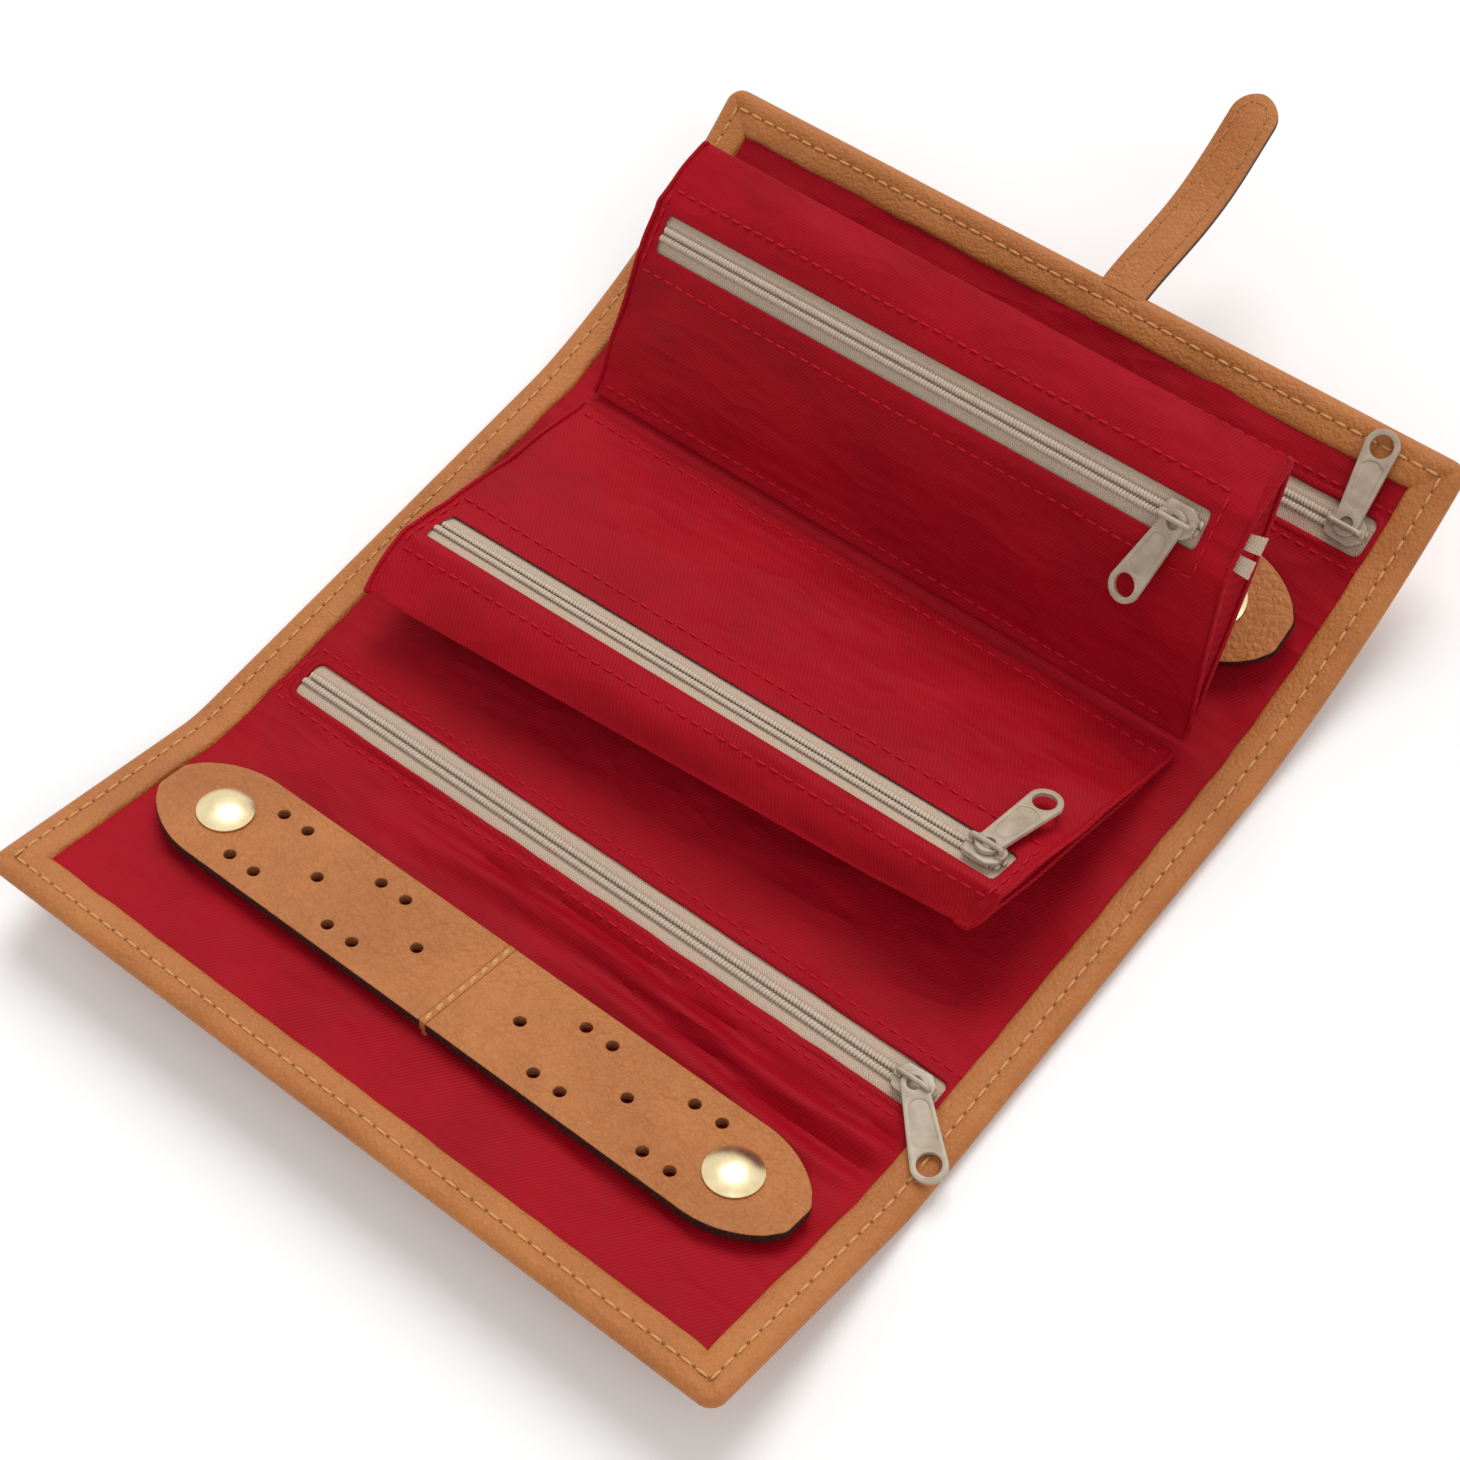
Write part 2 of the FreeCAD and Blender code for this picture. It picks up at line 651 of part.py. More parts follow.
def front_section(end):
    lower = "layer_fit"
    upper = "(layer_fit + page_ply)"
    return [("page_mouth", "page_ply + layer_fit"), on_zip(end, f"-{TAPE_EDGE}", lower),
            on_zip(end, "-page_window", lower), on_zip(end, "-page_window", upper),
            on_zip(end, f"-{TAPE_EDGE}", upper), ("page_mouth", "2 * page_ply + layer_fit")]


def band_section(end):
    lower = "layer_fit"
    upper = "(layer_fit + page_ply)"
    return [on_zip(end, "page_window", lower), on_zip(end, TAPE_EDGE, lower),
            (f"{end['length']} - 2 * page_ply", upper), (end["length"], upper),
            on_zip(end, f"{TAPE_EDGE} + page_ply / 2", upper), on_zip(end, "page_window", upper)]


def end_section(end):
    floor = "(layer_fit + page_ply)"
    return [("2 * page_mouth", floor), (f"{end['length']} - 4 * page_ply", floor),
            on_zip(end, f"{TAPE_EDGE} - page_ply", "-layer_fit"), on_zip(end, f"-{TAPE_EDGE}", "-layer_fit")]


def page_end(end, inward):
    """The sewn-in wall that closes one side of a page."""
    wall = dict(end, x=f"{end['x']} + {inward} * page_ply")
    return page_loft((dict(end), wall), end_section)


def page(name, facing, hinge_y, hinge_z):
    ends = [
        {
            "x": x,
            "facing": facing,
            "angle": f"{name}_{side}_angle",
            "length": f"{name}_{side}_length",
            "tilt": f"{name}_zip_tilt",
            "zip_reach": f"{name}_zip_{side}_reach",
            "zip_rise": f"{name}_zip_{side}_rise",
        }
        for side, x in (("left", f"-{PAGE_LEFT}"), ("right", PAGE_RIGHT))
    ]
    place = f"placement(vector(0; {hinge_y}; {hinge_z}); rotation(vector(0; 0; 1); 0))"
    for piece, section in (("back", back_section), ("front", front_section), ("band", band_section)):
        node(page_loft(ends, section), f"{name}_{piece}", place)
    node(page_end(ends[0], "1"), f"{name}_left_end", place)
    node(page_end(ends[1], "-1"), f"{name}_right_end", place)
    sides = []
    for end in ends:
        run, rise = on_zip(end, "0", "0")
        along = f"(({run}) * cos({end['angle']}) - ({rise}) * sin({end['angle']}))"
        up = f"(({run}) * sin({end['angle']}) + ({rise}) * cos({end['angle']}))"
        sides.append((f"({facing} * {along})", up))
    width = f"({PAGE_LEFT} + {PAGE_RIGHT})"
    shift = f"(({sides[1][0]}) - ({sides[0][0]}))"
    climb = f"(({sides[1][1]}) - ({sides[0][1]}))"
    insets = (f"{name}_zip_left_inset", f"{name}_zip_right_inset")
    length = f"(sqrt({width} ^ 2 + {shift} ^ 2 + {climb} ^ 2) - {insets[0]} - {insets[1]})"
    aim = (f"rotation(vector(0; 0; 1); atan2({shift}; {width}))"
           f" * rotation(vector(0; 1; 0); -atan2({climb}; {width}))"
           f" * rotation(vector(1; 0; 0); {facing} * {name}_zip_tilt)")
    middle = (f"vector(({PAGE_RIGHT} - {PAGE_LEFT}) / 2; {hinge_y} + ({sides[0][0]} + {sides[1][0]}) / 2;"
              f" {hinge_z} + ({sides[0][1]} + {sides[1][1]}) / 2)")
    slip = f"placement(vector(({insets[0]} - {insets[1]}) / 2; 0; 0); rotation(vector(0; 0; 1); 0))"
    zip_fastener(name, length, f"placement({middle}; {aim}) * {slip}", f"{name}_tab")


def tongue():
    """Two leather plies with a magnet between them near the rounded tip."""
    root = FAR_FOLD
    middle = f"({FOLD} / 2)"
    tip = f"({root} + tongue_length - tongue_width / 2)"
    edges = ("tongue_shift - tongue_width / 2", "tongue_shift + tongue_width / 2")
    spot = ("tongue_shift", f"{tip} - magnet_reach")
    swing = turn(f"tongue_pitch - far_kink - far_depth * {BEND}", root, middle)
    gap = "placement(vector(0; tongue_gap; 0); rotation(vector(0; 0; 1); 0))"
    place = f"{along_far('far_depth')} * {gap} * {swing}"
    for label, low, high in (("tongue_outer_ply", f"{middle} - tongue_ply", middle),
                             ("tongue_inner_ply", middle, f"{middle} + tongue_ply")):
        ply = fuse(box((edges[0], root, low), (edges[1], tip, high)),
                   disc("tongue_shift", tip, "tongue_width", low, high))
        pocket = disc(*spot, "magnet_size + 2 * layer_fit", middle, f"{middle} + magnet_ply")
        node(cut(ply, pocket), label, place)
    node(disc(*spot, "magnet_size", middle, f"{middle} + magnet_ply"), "tongue_magnet", place)


PAGE_LIFT = f"({LINING_TOP} + page_lift)"
DROP = f"({FOLD} - {PAGE_LIFT})"

centre_panel()
near_panel()
far_panel()
page("near_page", "-1", f"({FAR_FOLD} - page_root)", PAGE_LIFT)
page("far_page", "1", f"({FAR_FOLD} + page_root * cos(far_kink) + {DROP} * sin(far_kink))",
     f"({FOLD} + page_root * sin(far_kink) - {DROP} * cos(far_kink))")
tongue()
doc.recompute()

failed = [thing.Label for thing in doc.Objects if {"Invalid", "Error"} & set(thing.State)]
failed += [thing.Label for thing in nodes if thing.Shape.isNull() or not thing.Shape.isValid()]
if failed:
    raise RuntimeError(f"these did not build: {failed}")

os.makedirs("parts", exist_ok=True)
for thing in nodes:
    thing.Shape.exportStep(f"parts/{thing.Label}.step")
    print(thing.Label, len(thing.Shape.Solids), round(thing.Shape.Volume, 1))
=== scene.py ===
import json
import math

import bpy
import numpy as np
from mathutils import Matrix, Vector


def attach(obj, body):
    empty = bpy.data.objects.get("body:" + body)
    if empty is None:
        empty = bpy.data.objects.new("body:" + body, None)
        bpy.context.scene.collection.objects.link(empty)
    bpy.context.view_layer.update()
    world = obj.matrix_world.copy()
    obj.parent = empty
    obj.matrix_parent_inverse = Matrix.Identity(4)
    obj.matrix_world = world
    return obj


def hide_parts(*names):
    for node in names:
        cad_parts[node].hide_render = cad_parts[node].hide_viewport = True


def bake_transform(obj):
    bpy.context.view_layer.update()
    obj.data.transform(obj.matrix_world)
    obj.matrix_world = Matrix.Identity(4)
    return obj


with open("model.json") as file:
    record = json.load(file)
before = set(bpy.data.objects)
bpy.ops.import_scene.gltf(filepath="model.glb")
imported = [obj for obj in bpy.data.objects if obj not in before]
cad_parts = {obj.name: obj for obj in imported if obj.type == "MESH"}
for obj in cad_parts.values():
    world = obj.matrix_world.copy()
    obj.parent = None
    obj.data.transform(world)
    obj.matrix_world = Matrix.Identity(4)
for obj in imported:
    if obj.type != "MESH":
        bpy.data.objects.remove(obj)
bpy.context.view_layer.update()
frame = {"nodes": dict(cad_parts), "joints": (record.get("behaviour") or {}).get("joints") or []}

# A tan leather jewellery case, opened out, with a red satin lining, zipped pockets
# and pages, perforated straps and a closing tongue. Lengths are in millimetres until
# a mesh is placed; the frame is the case's own, with the centre panel on the table.

MM = 0.001
JOINTS = {joint["name"]: joint for joint in frame["joints"]}


def pivot(joint):
    return np.array(JOINTS[joint]["pos_m"]) / MM


# The laid-out case: the near panel, the centre and the far panel in one run along Y.
CASE_HALF = 100.0
CORNER = 4.0
FOLD_Y = float(pivot("far_fold")[1])
FOLD_HEIGHT = float(pivot("far_fold")[2])
NEAR_END = -FOLD_Y - 59.0
FAR_END = FOLD_Y + 81.8
NEAR_TILT = math.radians(16.3)
FAR_KINK = math.radians(6.0)
FAR_RADIUS = 171.0
FOLD_EASE = 5.0
SEAM = 50.0
LINING_TOP = 3.15
HEM = 9.5
HEM_EDGE = 9.2
HEM_TOP = 4.42
TUCK = HEM - 0.8
STITCH_IN = 4.4
WINDOW_LENGTH = 175.0
WINDOW_DEPTH = 8.8
WINDOW_SHIFT = 1.5
CENTRE_ZIP = -FOLD_Y + 22.3
FAR_ZIP = FOLD_Y + 58.7

# The leather border in section: how far in from the outer edge, and how high.
BORDER = np.array([
    (9.75, 2.95), (9.6, 3.5), (9.3, 4.05), (8.4, 4.35), (6.6, 4.5), (5.2, 4.42), (4.7, 4.25), (4.1, 4.25),
    (3.6, 4.42), (2.4, 4.42), (1.1, 4.0), (0.3, 3.2), (0.0, 2.2), (0.25, 1.15), (1.1, 0.35), (3.0, 0.02),
    (12.0, 0.02),
])


def eased(share):
    share = np.clip(share, 0, 1)
    return share * share * (3 - 2 * share)


REACH = np.linspace(-122, 147, 5381)
LEAN = (
    -NEAR_TILT * eased((-FOLD_Y - REACH + FOLD_EASE) / (2 * FOLD_EASE))
    + FAR_KINK * eased((REACH - FOLD_Y + FOLD_EASE) / (2 * FOLD_EASE))
    + np.clip(REACH - FOLD_Y, 0, None) / FAR_RADIUS
)
STEP = REACH[1] - REACH[0]
RUN = np.cumsum(np.cos(LEAN)) * STEP
RISE = np.cumsum(np.sin(LEAN)) * STEP
RUN -= np.interp(0, REACH, RUN)
RISE += FOLD_HEIGHT - np.interp(0, REACH, RISE)


def lay(x, reach, height):
    """A point of the flat case, bent up to where its panel lies."""
    lean = np.interp(reach, REACH, LEAN)
    off = height - FOLD_HEIGHT
    y = np.interp(reach, REACH, RUN) - off * np.sin(lean)
    z = np.interp(reach, REACH, RISE) + off * np.cos(lean)
    return np.stack([x + 0 * y, y, z], -1)


# One full wave, in radians, and the same for each millimetre of a finish measured in metres.
FULL_WAVE = 6.283
WAVE_PER_MM = 6283.2


def ripple(x, y, size, seed):
    """Smooth uneven waves between about -1 and 1, the same on every run."""
    total = 0
    for turn in range(5):
        angle = seed + 2.4 * turn
        pitch = size * (1 + 0.37 * turn)
        along = x * math.cos(angle) + y * math.sin(angle)
        across = y * math.cos(angle) - x * math.sin(angle)
        bend = 1.3 * np.sin(across * FULL_WAVE / (2.3 * pitch) + turn)
        total = total + np.sin(along * FULL_WAVE / pitch + seed * 3 + bend)
    return total / 3.2


# Modelling steps that every piece uses.
def pick(piece):
    bpy.ops.object.select_all(action="DESELECT")
    piece.select_set(True)
    bpy.context.view_layer.objects.active = piece


def work(piece, kind, **settings):
    """Add one modifier and apply it."""
    pick(piece)
    modifier = piece.modifiers.new(kind.lower(), kind)
    for key, setting in settings.items():
        setattr(modifier, key, setting)
    bpy.ops.object.modifier_apply(modifier=modifier.name)
    return piece


def tidy(piece, merge=0.02):
    """Close seams and poles, and point every face outwards."""
    pick(piece)
    bpy.ops.object.mode_set(mode="EDIT")
    bpy.ops.mesh.select_all(action="SELECT")
    bpy.ops.mesh.remove_doubles(threshold=merge * MM)
    bpy.ops.mesh.dissolve_degenerate(threshold=0.002 * MM)
    bpy.ops.mesh.normals_make_consistent(inside=False)
    bpy.ops.object.mode_set(mode="OBJECT")
    return piece


def cut_out(piece, chosen):
    """Delete the chosen faces."""
    pick(piece)
    bpy.ops.object.mode_set(mode="EDIT")
    bpy.ops.mesh.select_all(action="DESELECT")
    bpy.ops.mesh.select_mode(type="FACE")
    bpy.ops.object.mode_set(mode="OBJECT")
    for face in piece.data.polygons:
        face.select = bool(chosen(face))
    bpy.ops.object.mode_set(mode="EDIT")
    bpy.ops.mesh.delete(type="FACE")
    bpy.ops.object.mode_set(mode="OBJECT")
    return piece


def join(first, *others):
    pick(first)
    for piece in others:
        piece.select_set(True)
    bpy.ops.object.join()
    return first


def move(piece, x=0.0, z=0.0):
    piece.data.transform(Matrix.Translation((x * MM, 0, z * MM)))
    return piece


def refine(piece, **settings):
    """Halve the grid of a soft piece."""
    return work(piece, "SUBSURF", levels=1, render_levels=1, **settings)


def smooth(piece, angle):
    pick(piece)
    bpy.ops.object.shade_smooth_by_angle(angle=math.radians(angle))
    return piece


def sheet(name, columns, rows, place):
    """A grid with a station on every column and row, each point moved to its place."""
    bpy.ops.object.select_all(action="DESELECT")
    bpy.ops.mesh.primitive_grid_add(x_subdivisions=len(columns) - 1, y_subdivisions=len(rows) - 1, size=1)
    piece = bpy.context.object
    piece.name = name
    piece.data.name = name
    across, along = (stops.ravel() for stops in np.meshgrid(columns, rows))
    spots = place(across, along) * MM
    piece.data.vertices.foreach_set("co", spots.astype(np.float32).ravel())
    corners = np.empty(len(piece.data.loops), np.int32)
    piece.data.loops.foreach_get("vertex_index", corners)
    chart = np.stack([across, along], -1)[corners] * MM
    piece.data.uv_layers.active.data.foreach_set("uv", chart.astype(np.float32).ravel())
    piece.data.update()
    return piece


def stations(low, high, pitch, *needed):
    """Even stops between two ends, with the needed ones among them."""
    count = max(2, round((high - low) / pitch) + 1)
    stops = np.concatenate([np.linspace(low, high, count), needed])
    stops = np.unique(np.round(stops, 4))
    keep = [stops[0]]
    fixed = {low, high, *needed}
    for stop in stops[1:]:
        if stop - keep[-1] > 0.3 * pitch:
            keep.append(stop)
        elif any(abs(stop - want) < 1e-3 for want in fixed):
            if any(abs(keep[-1] - want) < 1e-3 for want in fixed):
                keep.append(stop)
            else:
                keep[-1] = stop
    return np.array(keep)


def copies(name, pattern, frames):
    """One mesh made of a modelled pattern, repeated in every frame."""
    spots = np.empty(len(pattern.data.vertices) * 3)
    pattern.data.vertices.foreach_get("co", spots)
    spots = spots.reshape(-1, 3)
    count = len(spots)
    faces = [tuple(face.vertices) for face in pattern.data.polygons]
    points = np.concatenate([spots @ turn.T + where for turn, where in frames])
    shapes = [
        tuple(index + count * number for index in face)
        for number in range(len(frames))
        for face in faces
    ]
    mesh = bpy.data.meshes.new(name)
    mesh.from_pydata(points.tolist(), [], shapes)
    piece = bpy.data.objects.new(name, mesh)
    bpy.context.scene.collection.objects.link(piece)
    bpy.data.objects.remove(pattern)
    return smooth(piece, 60)


def outline_plate(name, loops, thickness, bevel):
    """A flat plate with holes, its edges rounded, lying from height zero upwards."""
    curve = bpy.data.curves.new(name, "CURVE")
    curve.dimensions = "2D"
    curve.fill_mode = "BOTH"
    curve.extrude = (thickness / 2 - bevel) * MM
    curve.bevel_depth = bevel * MM
    curve.bevel_resolution = 2
    curve.offset = -bevel * MM
    for loop in loops:
        spline = curve.splines.new("POLY")
        spline.points.add(len(loop) - 1)
        for point, (x, y) in zip(spline.points, loop):
            point.co = (x * MM, y * MM, 0, 1)
        spline.use_cyclic_u = True
    return as_mesh(name, curve, thickness / 2)


def tube(name, points, size):
    """A round bar bent along a line of points."""
    curve = bpy.data.curves.new(name, "CURVE")
    curve.dimensions = "3D"
    curve.bevel_depth = size / 2 * MM
    curve.bevel_resolution = 3
    curve.use_fill_caps = True
    spline = curve.splines.new("NURBS")
    spline.points.add(len(points) - 1)
    for point, spot in zip(spline.points, points):
        point.co = (*(np.array(spot) * MM), 1)
    spline.order_u = 3
    spline.use_endpoint_u = True
    return as_mesh(name, curve)


def as_mesh(name, curve, lift=0.0):
    piece = bpy.data.objects.new(name, curve)
    bpy.context.scene.collection.objects.link(piece)
    pick(piece)
    bpy.ops.object.convert(target="MESH")
    piece = bpy.context.object
    move(piece, z=lift)
    piece.data.name = name
    return tidy(piece, merge=0.01)


def arc(x, y, radius, start, end, count):
    """Points along an arc, its angles in degrees."""
    turns = np.radians(np.linspace(start, end, count))
    return [(x + radius * math.cos(turn), y + radius * math.sin(turn)) for turn in turns]


def put(piece, axes, origin):
    """Turn a piece from its own axes into the case's."""
    matrix = Matrix.Identity(4)
    for column, axis in enumerate(axes):
        for row in range(3):
            matrix[row][column] = axis[row]
    matrix.translation = Vector(np.array(origin) * MM)
    piece.data.transform(matrix)
    piece.data.update()
    return piece


# Shader maths in plain sums.
class Value:
    """A shader socket that takes part in Python's own sums."""

    def __init__(self, nodes, socket):
        self.nodes = nodes
        self.socket = socket

    def sum(self, operation, first, second):
        return self.nodes.node("ShaderNodeMath", {"operation": operation}, {0: first, 1: second})

    def __add__(self, other):
        return self.sum("ADD", self, other)

    def __radd__(self, other):
        return self.sum("ADD", other, self)

    def __sub__(self, other):
        return self.sum("SUBTRACT", self, other)

    def __rsub__(self, other):
        return self.sum("SUBTRACT", other, self)

    def __mul__(self, other):
        return self.sum("MULTIPLY", self, other)

    def __rmul__(self, other):
        return self.sum("MULTIPLY", other, self)

    def or_more(self, other):
        return self.sum("MAXIMUM", self, other)

    def zigzag(self, turn):
        """Rise to a level, fall back to nothing, and so on."""
        return self.sum("PINGPONG", self, turn)

    def sine(self):
        return self.nodes.node("ShaderNodeMath", {"operation": "SINE"}, {0: self})


class Nodes:
    """A node tree whose nodes are all made in one way."""

    def __init__(self, tree):
        self.tree = tree

    def node(self, kind, settings, inputs, output=0):
        made = self.tree.nodes.new(kind)
        for key, setting in settings.items():
            if key == "stops":
                self.stops(made.color_ramp, setting)
            else:
                setattr(made, key, setting)
        for key, value in inputs.items():
            if isinstance(value, Value):
                self.tree.links.new(value.socket, made.inputs[key])
            else:
                made.inputs[key].default_value = value
        return Value(self, made.outputs[output])

    def stops(self, ramp, stops):
        while len(ramp.elements) < len(stops):
            ramp.elements.new(0.5)
        for element, (position, colour) in zip(ramp.elements, stops):
            element.position = position
            element.color = colour


class Paint(Nodes):
    """One procedural finish on a principled shader."""

    def __init__(self, name, **constants):
        self.material = bpy.data.materials.new(name)
        self.material.use_nodes = True
        super().__init__(self.material.node_tree)
        self.shader = self.tree.nodes["Principled BSDF"]
        for socket, amount in constants.items():
            self.shader.inputs[socket.replace("_", " ")].default_value = amount

    def spot(self, stretch=(1, 1, 1), turn=0.0, chart=False):
        """The place on the piece, or on its own chart, in metres."""
        source = self.node("ShaderNodeTexCoord", {}, {}, "UV" if chart else "Object")
        inputs = {"Vector": source, "Scale": stretch, "Rotation": (0, 0, turn)}
        return self.node("ShaderNodeMapping", {}, inputs)

    def noise(self, where, scale, detail=3.0, output=0):
        inputs = {"Vector": where, "Scale": scale, "Detail": detail, "Roughness": 0.55}
        return self.node("ShaderNodeTexNoise", {}, inputs, output)

    def cells(self, where, scale, feature, **more):
        inputs = {"Vector": where, "Scale": scale, **more}
        return self.node("ShaderNodeTexVoronoi", {"feature": feature}, inputs)

    def waves(self, where, pitch, distortion):
        """Even ribs across X, their pitch in millimetres."""
        inputs = {"Vector": where, "Scale": math.pi / 10 / (pitch * MM), "Distortion": distortion}
        return self.node("ShaderNodeTexWave", {"wave_type": "BANDS", "bands_direction": "X"}, inputs, "Fac")

    def spread(self, value, low, high):
        """Stretch a value, black at one level and white at the other."""
        stops = ((low, (0, 0, 0, 1)), (high, (1, 1, 1, 1)))
        return self.node("ShaderNodeValToRGB", {"stops": stops}, {"Fac": value})

    def blend(self, share, first, second):
        inputs = {"Factor": share, 6: first, 7: second}
        return self.node("ShaderNodeMix", {"data_type": "RGBA"}, inputs, 2)

    def bump(self, height, depth, strength=1.0, over=None):
        inputs = {"Height": height, "Distance": depth * MM, "Strength": strength}
        if over:
            inputs["Normal"] = over
        return self.node("ShaderNodeBump", {}, inputs)

    def feed(self, **links):
        for socket, value in links.items():
            self.tree.links.new(value.socket, self.shader.inputs[socket.replace("_", " ")])
        return self.material


def tint(red, green, blue):
    """A colour as it is read off a screen, made linear."""
    parts = [part / 255 for part in (red, green, blue)]
    return (*[part / 12.92 if part <= 0.04045 else ((part + 0.055) / 1.055) ** 2.4 for part in parts], 1.0)


def leather_finish(name, light, dark, grain, depth):
    """Pebbled hide: uneven soft grains, fine pores and a slow change of colour."""
    paint = Paint(name, Specular_IOR_Level=0.26)
    where = paint.spot()
    wander = paint.noise(where, 420 / grain, 2, "Color")
    sway = (0.0016 * grain,) * 3
    bent = paint.node("ShaderNodeVectorMath", {"operation": "MULTIPLY_ADD"}, {0: wander, 1: sway, 2: where})
    pebble = paint.cells(bent, 1000 / grain, "SMOOTH_F1", Smoothness=0.5)
    between = paint.cells(bent, 1000 / grain, "DISTANCE_TO_EDGE")
    crease = paint.spread(between, 0.0, 0.2)
    lump = paint.noise(where, 900 / grain, 2)
    pore = paint.noise(where, 5200, 2)
    cloud = paint.noise(where, 46, 4)
    rumple = paint.noise(where, 130, 3).zigzag(0.5)
    height = 0.8 * (1 - pebble) + 0.14 * crease + 0.9 * lump + 0.12 * pore
    creased = paint.bump(rumple, 0.9, 0.6)
    share = 0.66 * cloud + 0.06 * crease + 0.26 * lump + 0.1 * pore
    colour = paint.blend(paint.spread(share, 0.36, 0.72), dark, light)
    rough = 0.36 + 0.14 * cloud + 0.14 * (1 - lump)
    return paint.feed(Base_Color=colour, Roughness=rough, Normal=paint.bump(height, depth, 1.0, creased))


def edge_and_shade_finish(name, dark, light):
    """Painted or punched raw edge of leather, a little ragged; also the dark discs of painted shade in needle
    holes.
    """
    paint = Paint(name, Specular_IOR_Level=0.35)
    rag = paint.noise(paint.spot(), 1500, 3)
    colour = paint.blend(paint.spread(rag, 0.52, 0.74), dark, light)
    return paint.feed(Base_Color=colour, Roughness=0.42 + 0.2 * rag, Normal=paint.bump(rag, 0.12))


def satin_finish(name, light, dark, chart=True):
    """Fine satin twill: close slanted ribs, faint slubs and a slow change of tone."""
    paint = Paint(name, Specular_IOR_Level=0.1)
    where = paint.spot(chart=chart)
    slant = paint.spot(turn=math.radians(32), chart=chart)
    rib = paint.waves(slant, 0.8, 0.6)
    slub = paint.noise(paint.spot(stretch=(320, 2400, 1), chart=chart), 1.0, 2)
    cloud = paint.noise(where, 30, 3)
    crease = paint.noise(paint.spot(stretch=(30, 75, 30), turn=0.5, chart=chart), 1.0, 2)
    fold = crease.zigzag(0.5)
    height = 0.5 * rib + 0.4 * slub
    share = 0.56 * cloud + 0.26 * slub + 0.2 * rib
    colour = paint.blend(paint.spread(share, 0.35, 0.69), dark, light)
    rough = 0.5 + 0.14 * slub + 0.08 * cloud
    rumpled = paint.bump(fold, 3.0, 0.8)
    return paint.feed(Base_Color=colour, Roughness=rough, Normal=paint.bump(height, 0.07, 0.8, rumpled))


def thread_finish(name, light, dark):
    """Twisted sewing thread."""
    paint = Paint(name, Specular_IOR_Level=0.15)
    twist = paint.waves(paint.spot(turn=math.radians(40)), 0.45, 1.2)
    fuzz = paint.noise(paint.spot(), 2600, 2)
    colour = paint.blend(0.55 * twist + 0.45 * fuzz, dark, light)
    return paint.feed(Base_Color=colour, Roughness=0.55 + 0.2 * fuzz, Normal=paint.bump(twist, 0.06))


def tape_finish():
    """Woven zip tape in herringbone, lengthwise ribs slanting one way and then the other."""
    paint = Paint("zip_tape_weave", Sheen_Weight=0.15, Specular_IOR_Level=0.25)
    across = paint.node("ShaderNodeSeparateXYZ", {}, {"Vector": paint.spot(chart=True)}, "Y")
    along = paint.node("ShaderNodeSeparateXYZ", {}, {"Vector": paint.spot(chart=True)}, "X")
    bone = (across + 1.0).zigzag(0.00075)
    rib = ((along + bone * 0.9) * (WAVE_PER_MM / 0.62)).sine()
    warp = (across * (WAVE_PER_MM / 0.375)).sine()
    fuzz = paint.noise(paint.spot(), 2100, 2)
    height = 0.5 * rib + 0.25 * warp + 0.5 * fuzz
    share = paint.spread(0.5 + 0.2 * rib + 0.5 * (fuzz - 0.5), 0.2, 0.8)
    colour = paint.blend(share, tint(176, 151, 130), tint(214, 192, 169))
    return paint.feed(Base_Color=colour, Roughness=0.72 + 0.1 * fuzz, Normal=paint.bump(height, 0.09, 0.8))


def nylon_finish():
    """Nylon coil, a little glossy."""
    paint = Paint("zip_coil_nylon", Specular_IOR_Level=0.45)
    fuzz = paint.noise(paint.spot(), 900, 2)
    colour = paint.blend(fuzz, tint(180, 160, 138), tint(214, 198, 178))
    return paint.feed(Base_Color=colour, Roughness=0.36 + 0.16 * fuzz)


def enamel_finish():
    """Stone-coloured enamel on a cast slider, worn at random."""
    paint = Paint("zip_enamel", Specular_IOR_Level=0.5, Coat_Weight=0.25, Coat_Roughness=0.25)
    where = paint.spot()
    cloud = paint.noise(where, 260, 3)
    grit = paint.noise(where, 3800, 2)
    colour = paint.blend(paint.spread(cloud, 0.3, 0.7), tint(160, 142, 120), tint(183, 166, 144))
    return paint.feed(Base_Color=colour, Roughness=0.34 + 0.14 * grit, Normal=paint.bump(grit, 0.02))


def brass_finish():
    """Pale polished brass with fine turning marks and faint smudges."""
    paint = Paint("snap_brass", Metallic=1.0)
    where = paint.spot()
    smudge = paint.noise(where, 420, 4)
    scratch = paint.noise(paint.spot(stretch=(300, 9000, 300), turn=0.6), 1.0, 2)
    colour = paint.blend(smudge, tint(214, 190, 140), tint(242, 226, 186))
    return paint.feed(Base_Color=colour, Roughness=0.2 + 0.14 * smudge + 0.06 * scratch,
                      Normal=paint.bump(scratch, 0.008))


def plated_finish():
    """Dull plating on the hidden magnets."""
    paint = Paint("magnet_plating", Metallic=1.0)
    cloud = paint.noise(paint.spot(), 600, 3)
    colour = paint.blend(cloud, tint(120, 120, 124), tint(170, 170, 174))
    return paint.feed(Base_Color=colour, Roughness=0.3 + 0.2 * cloud)


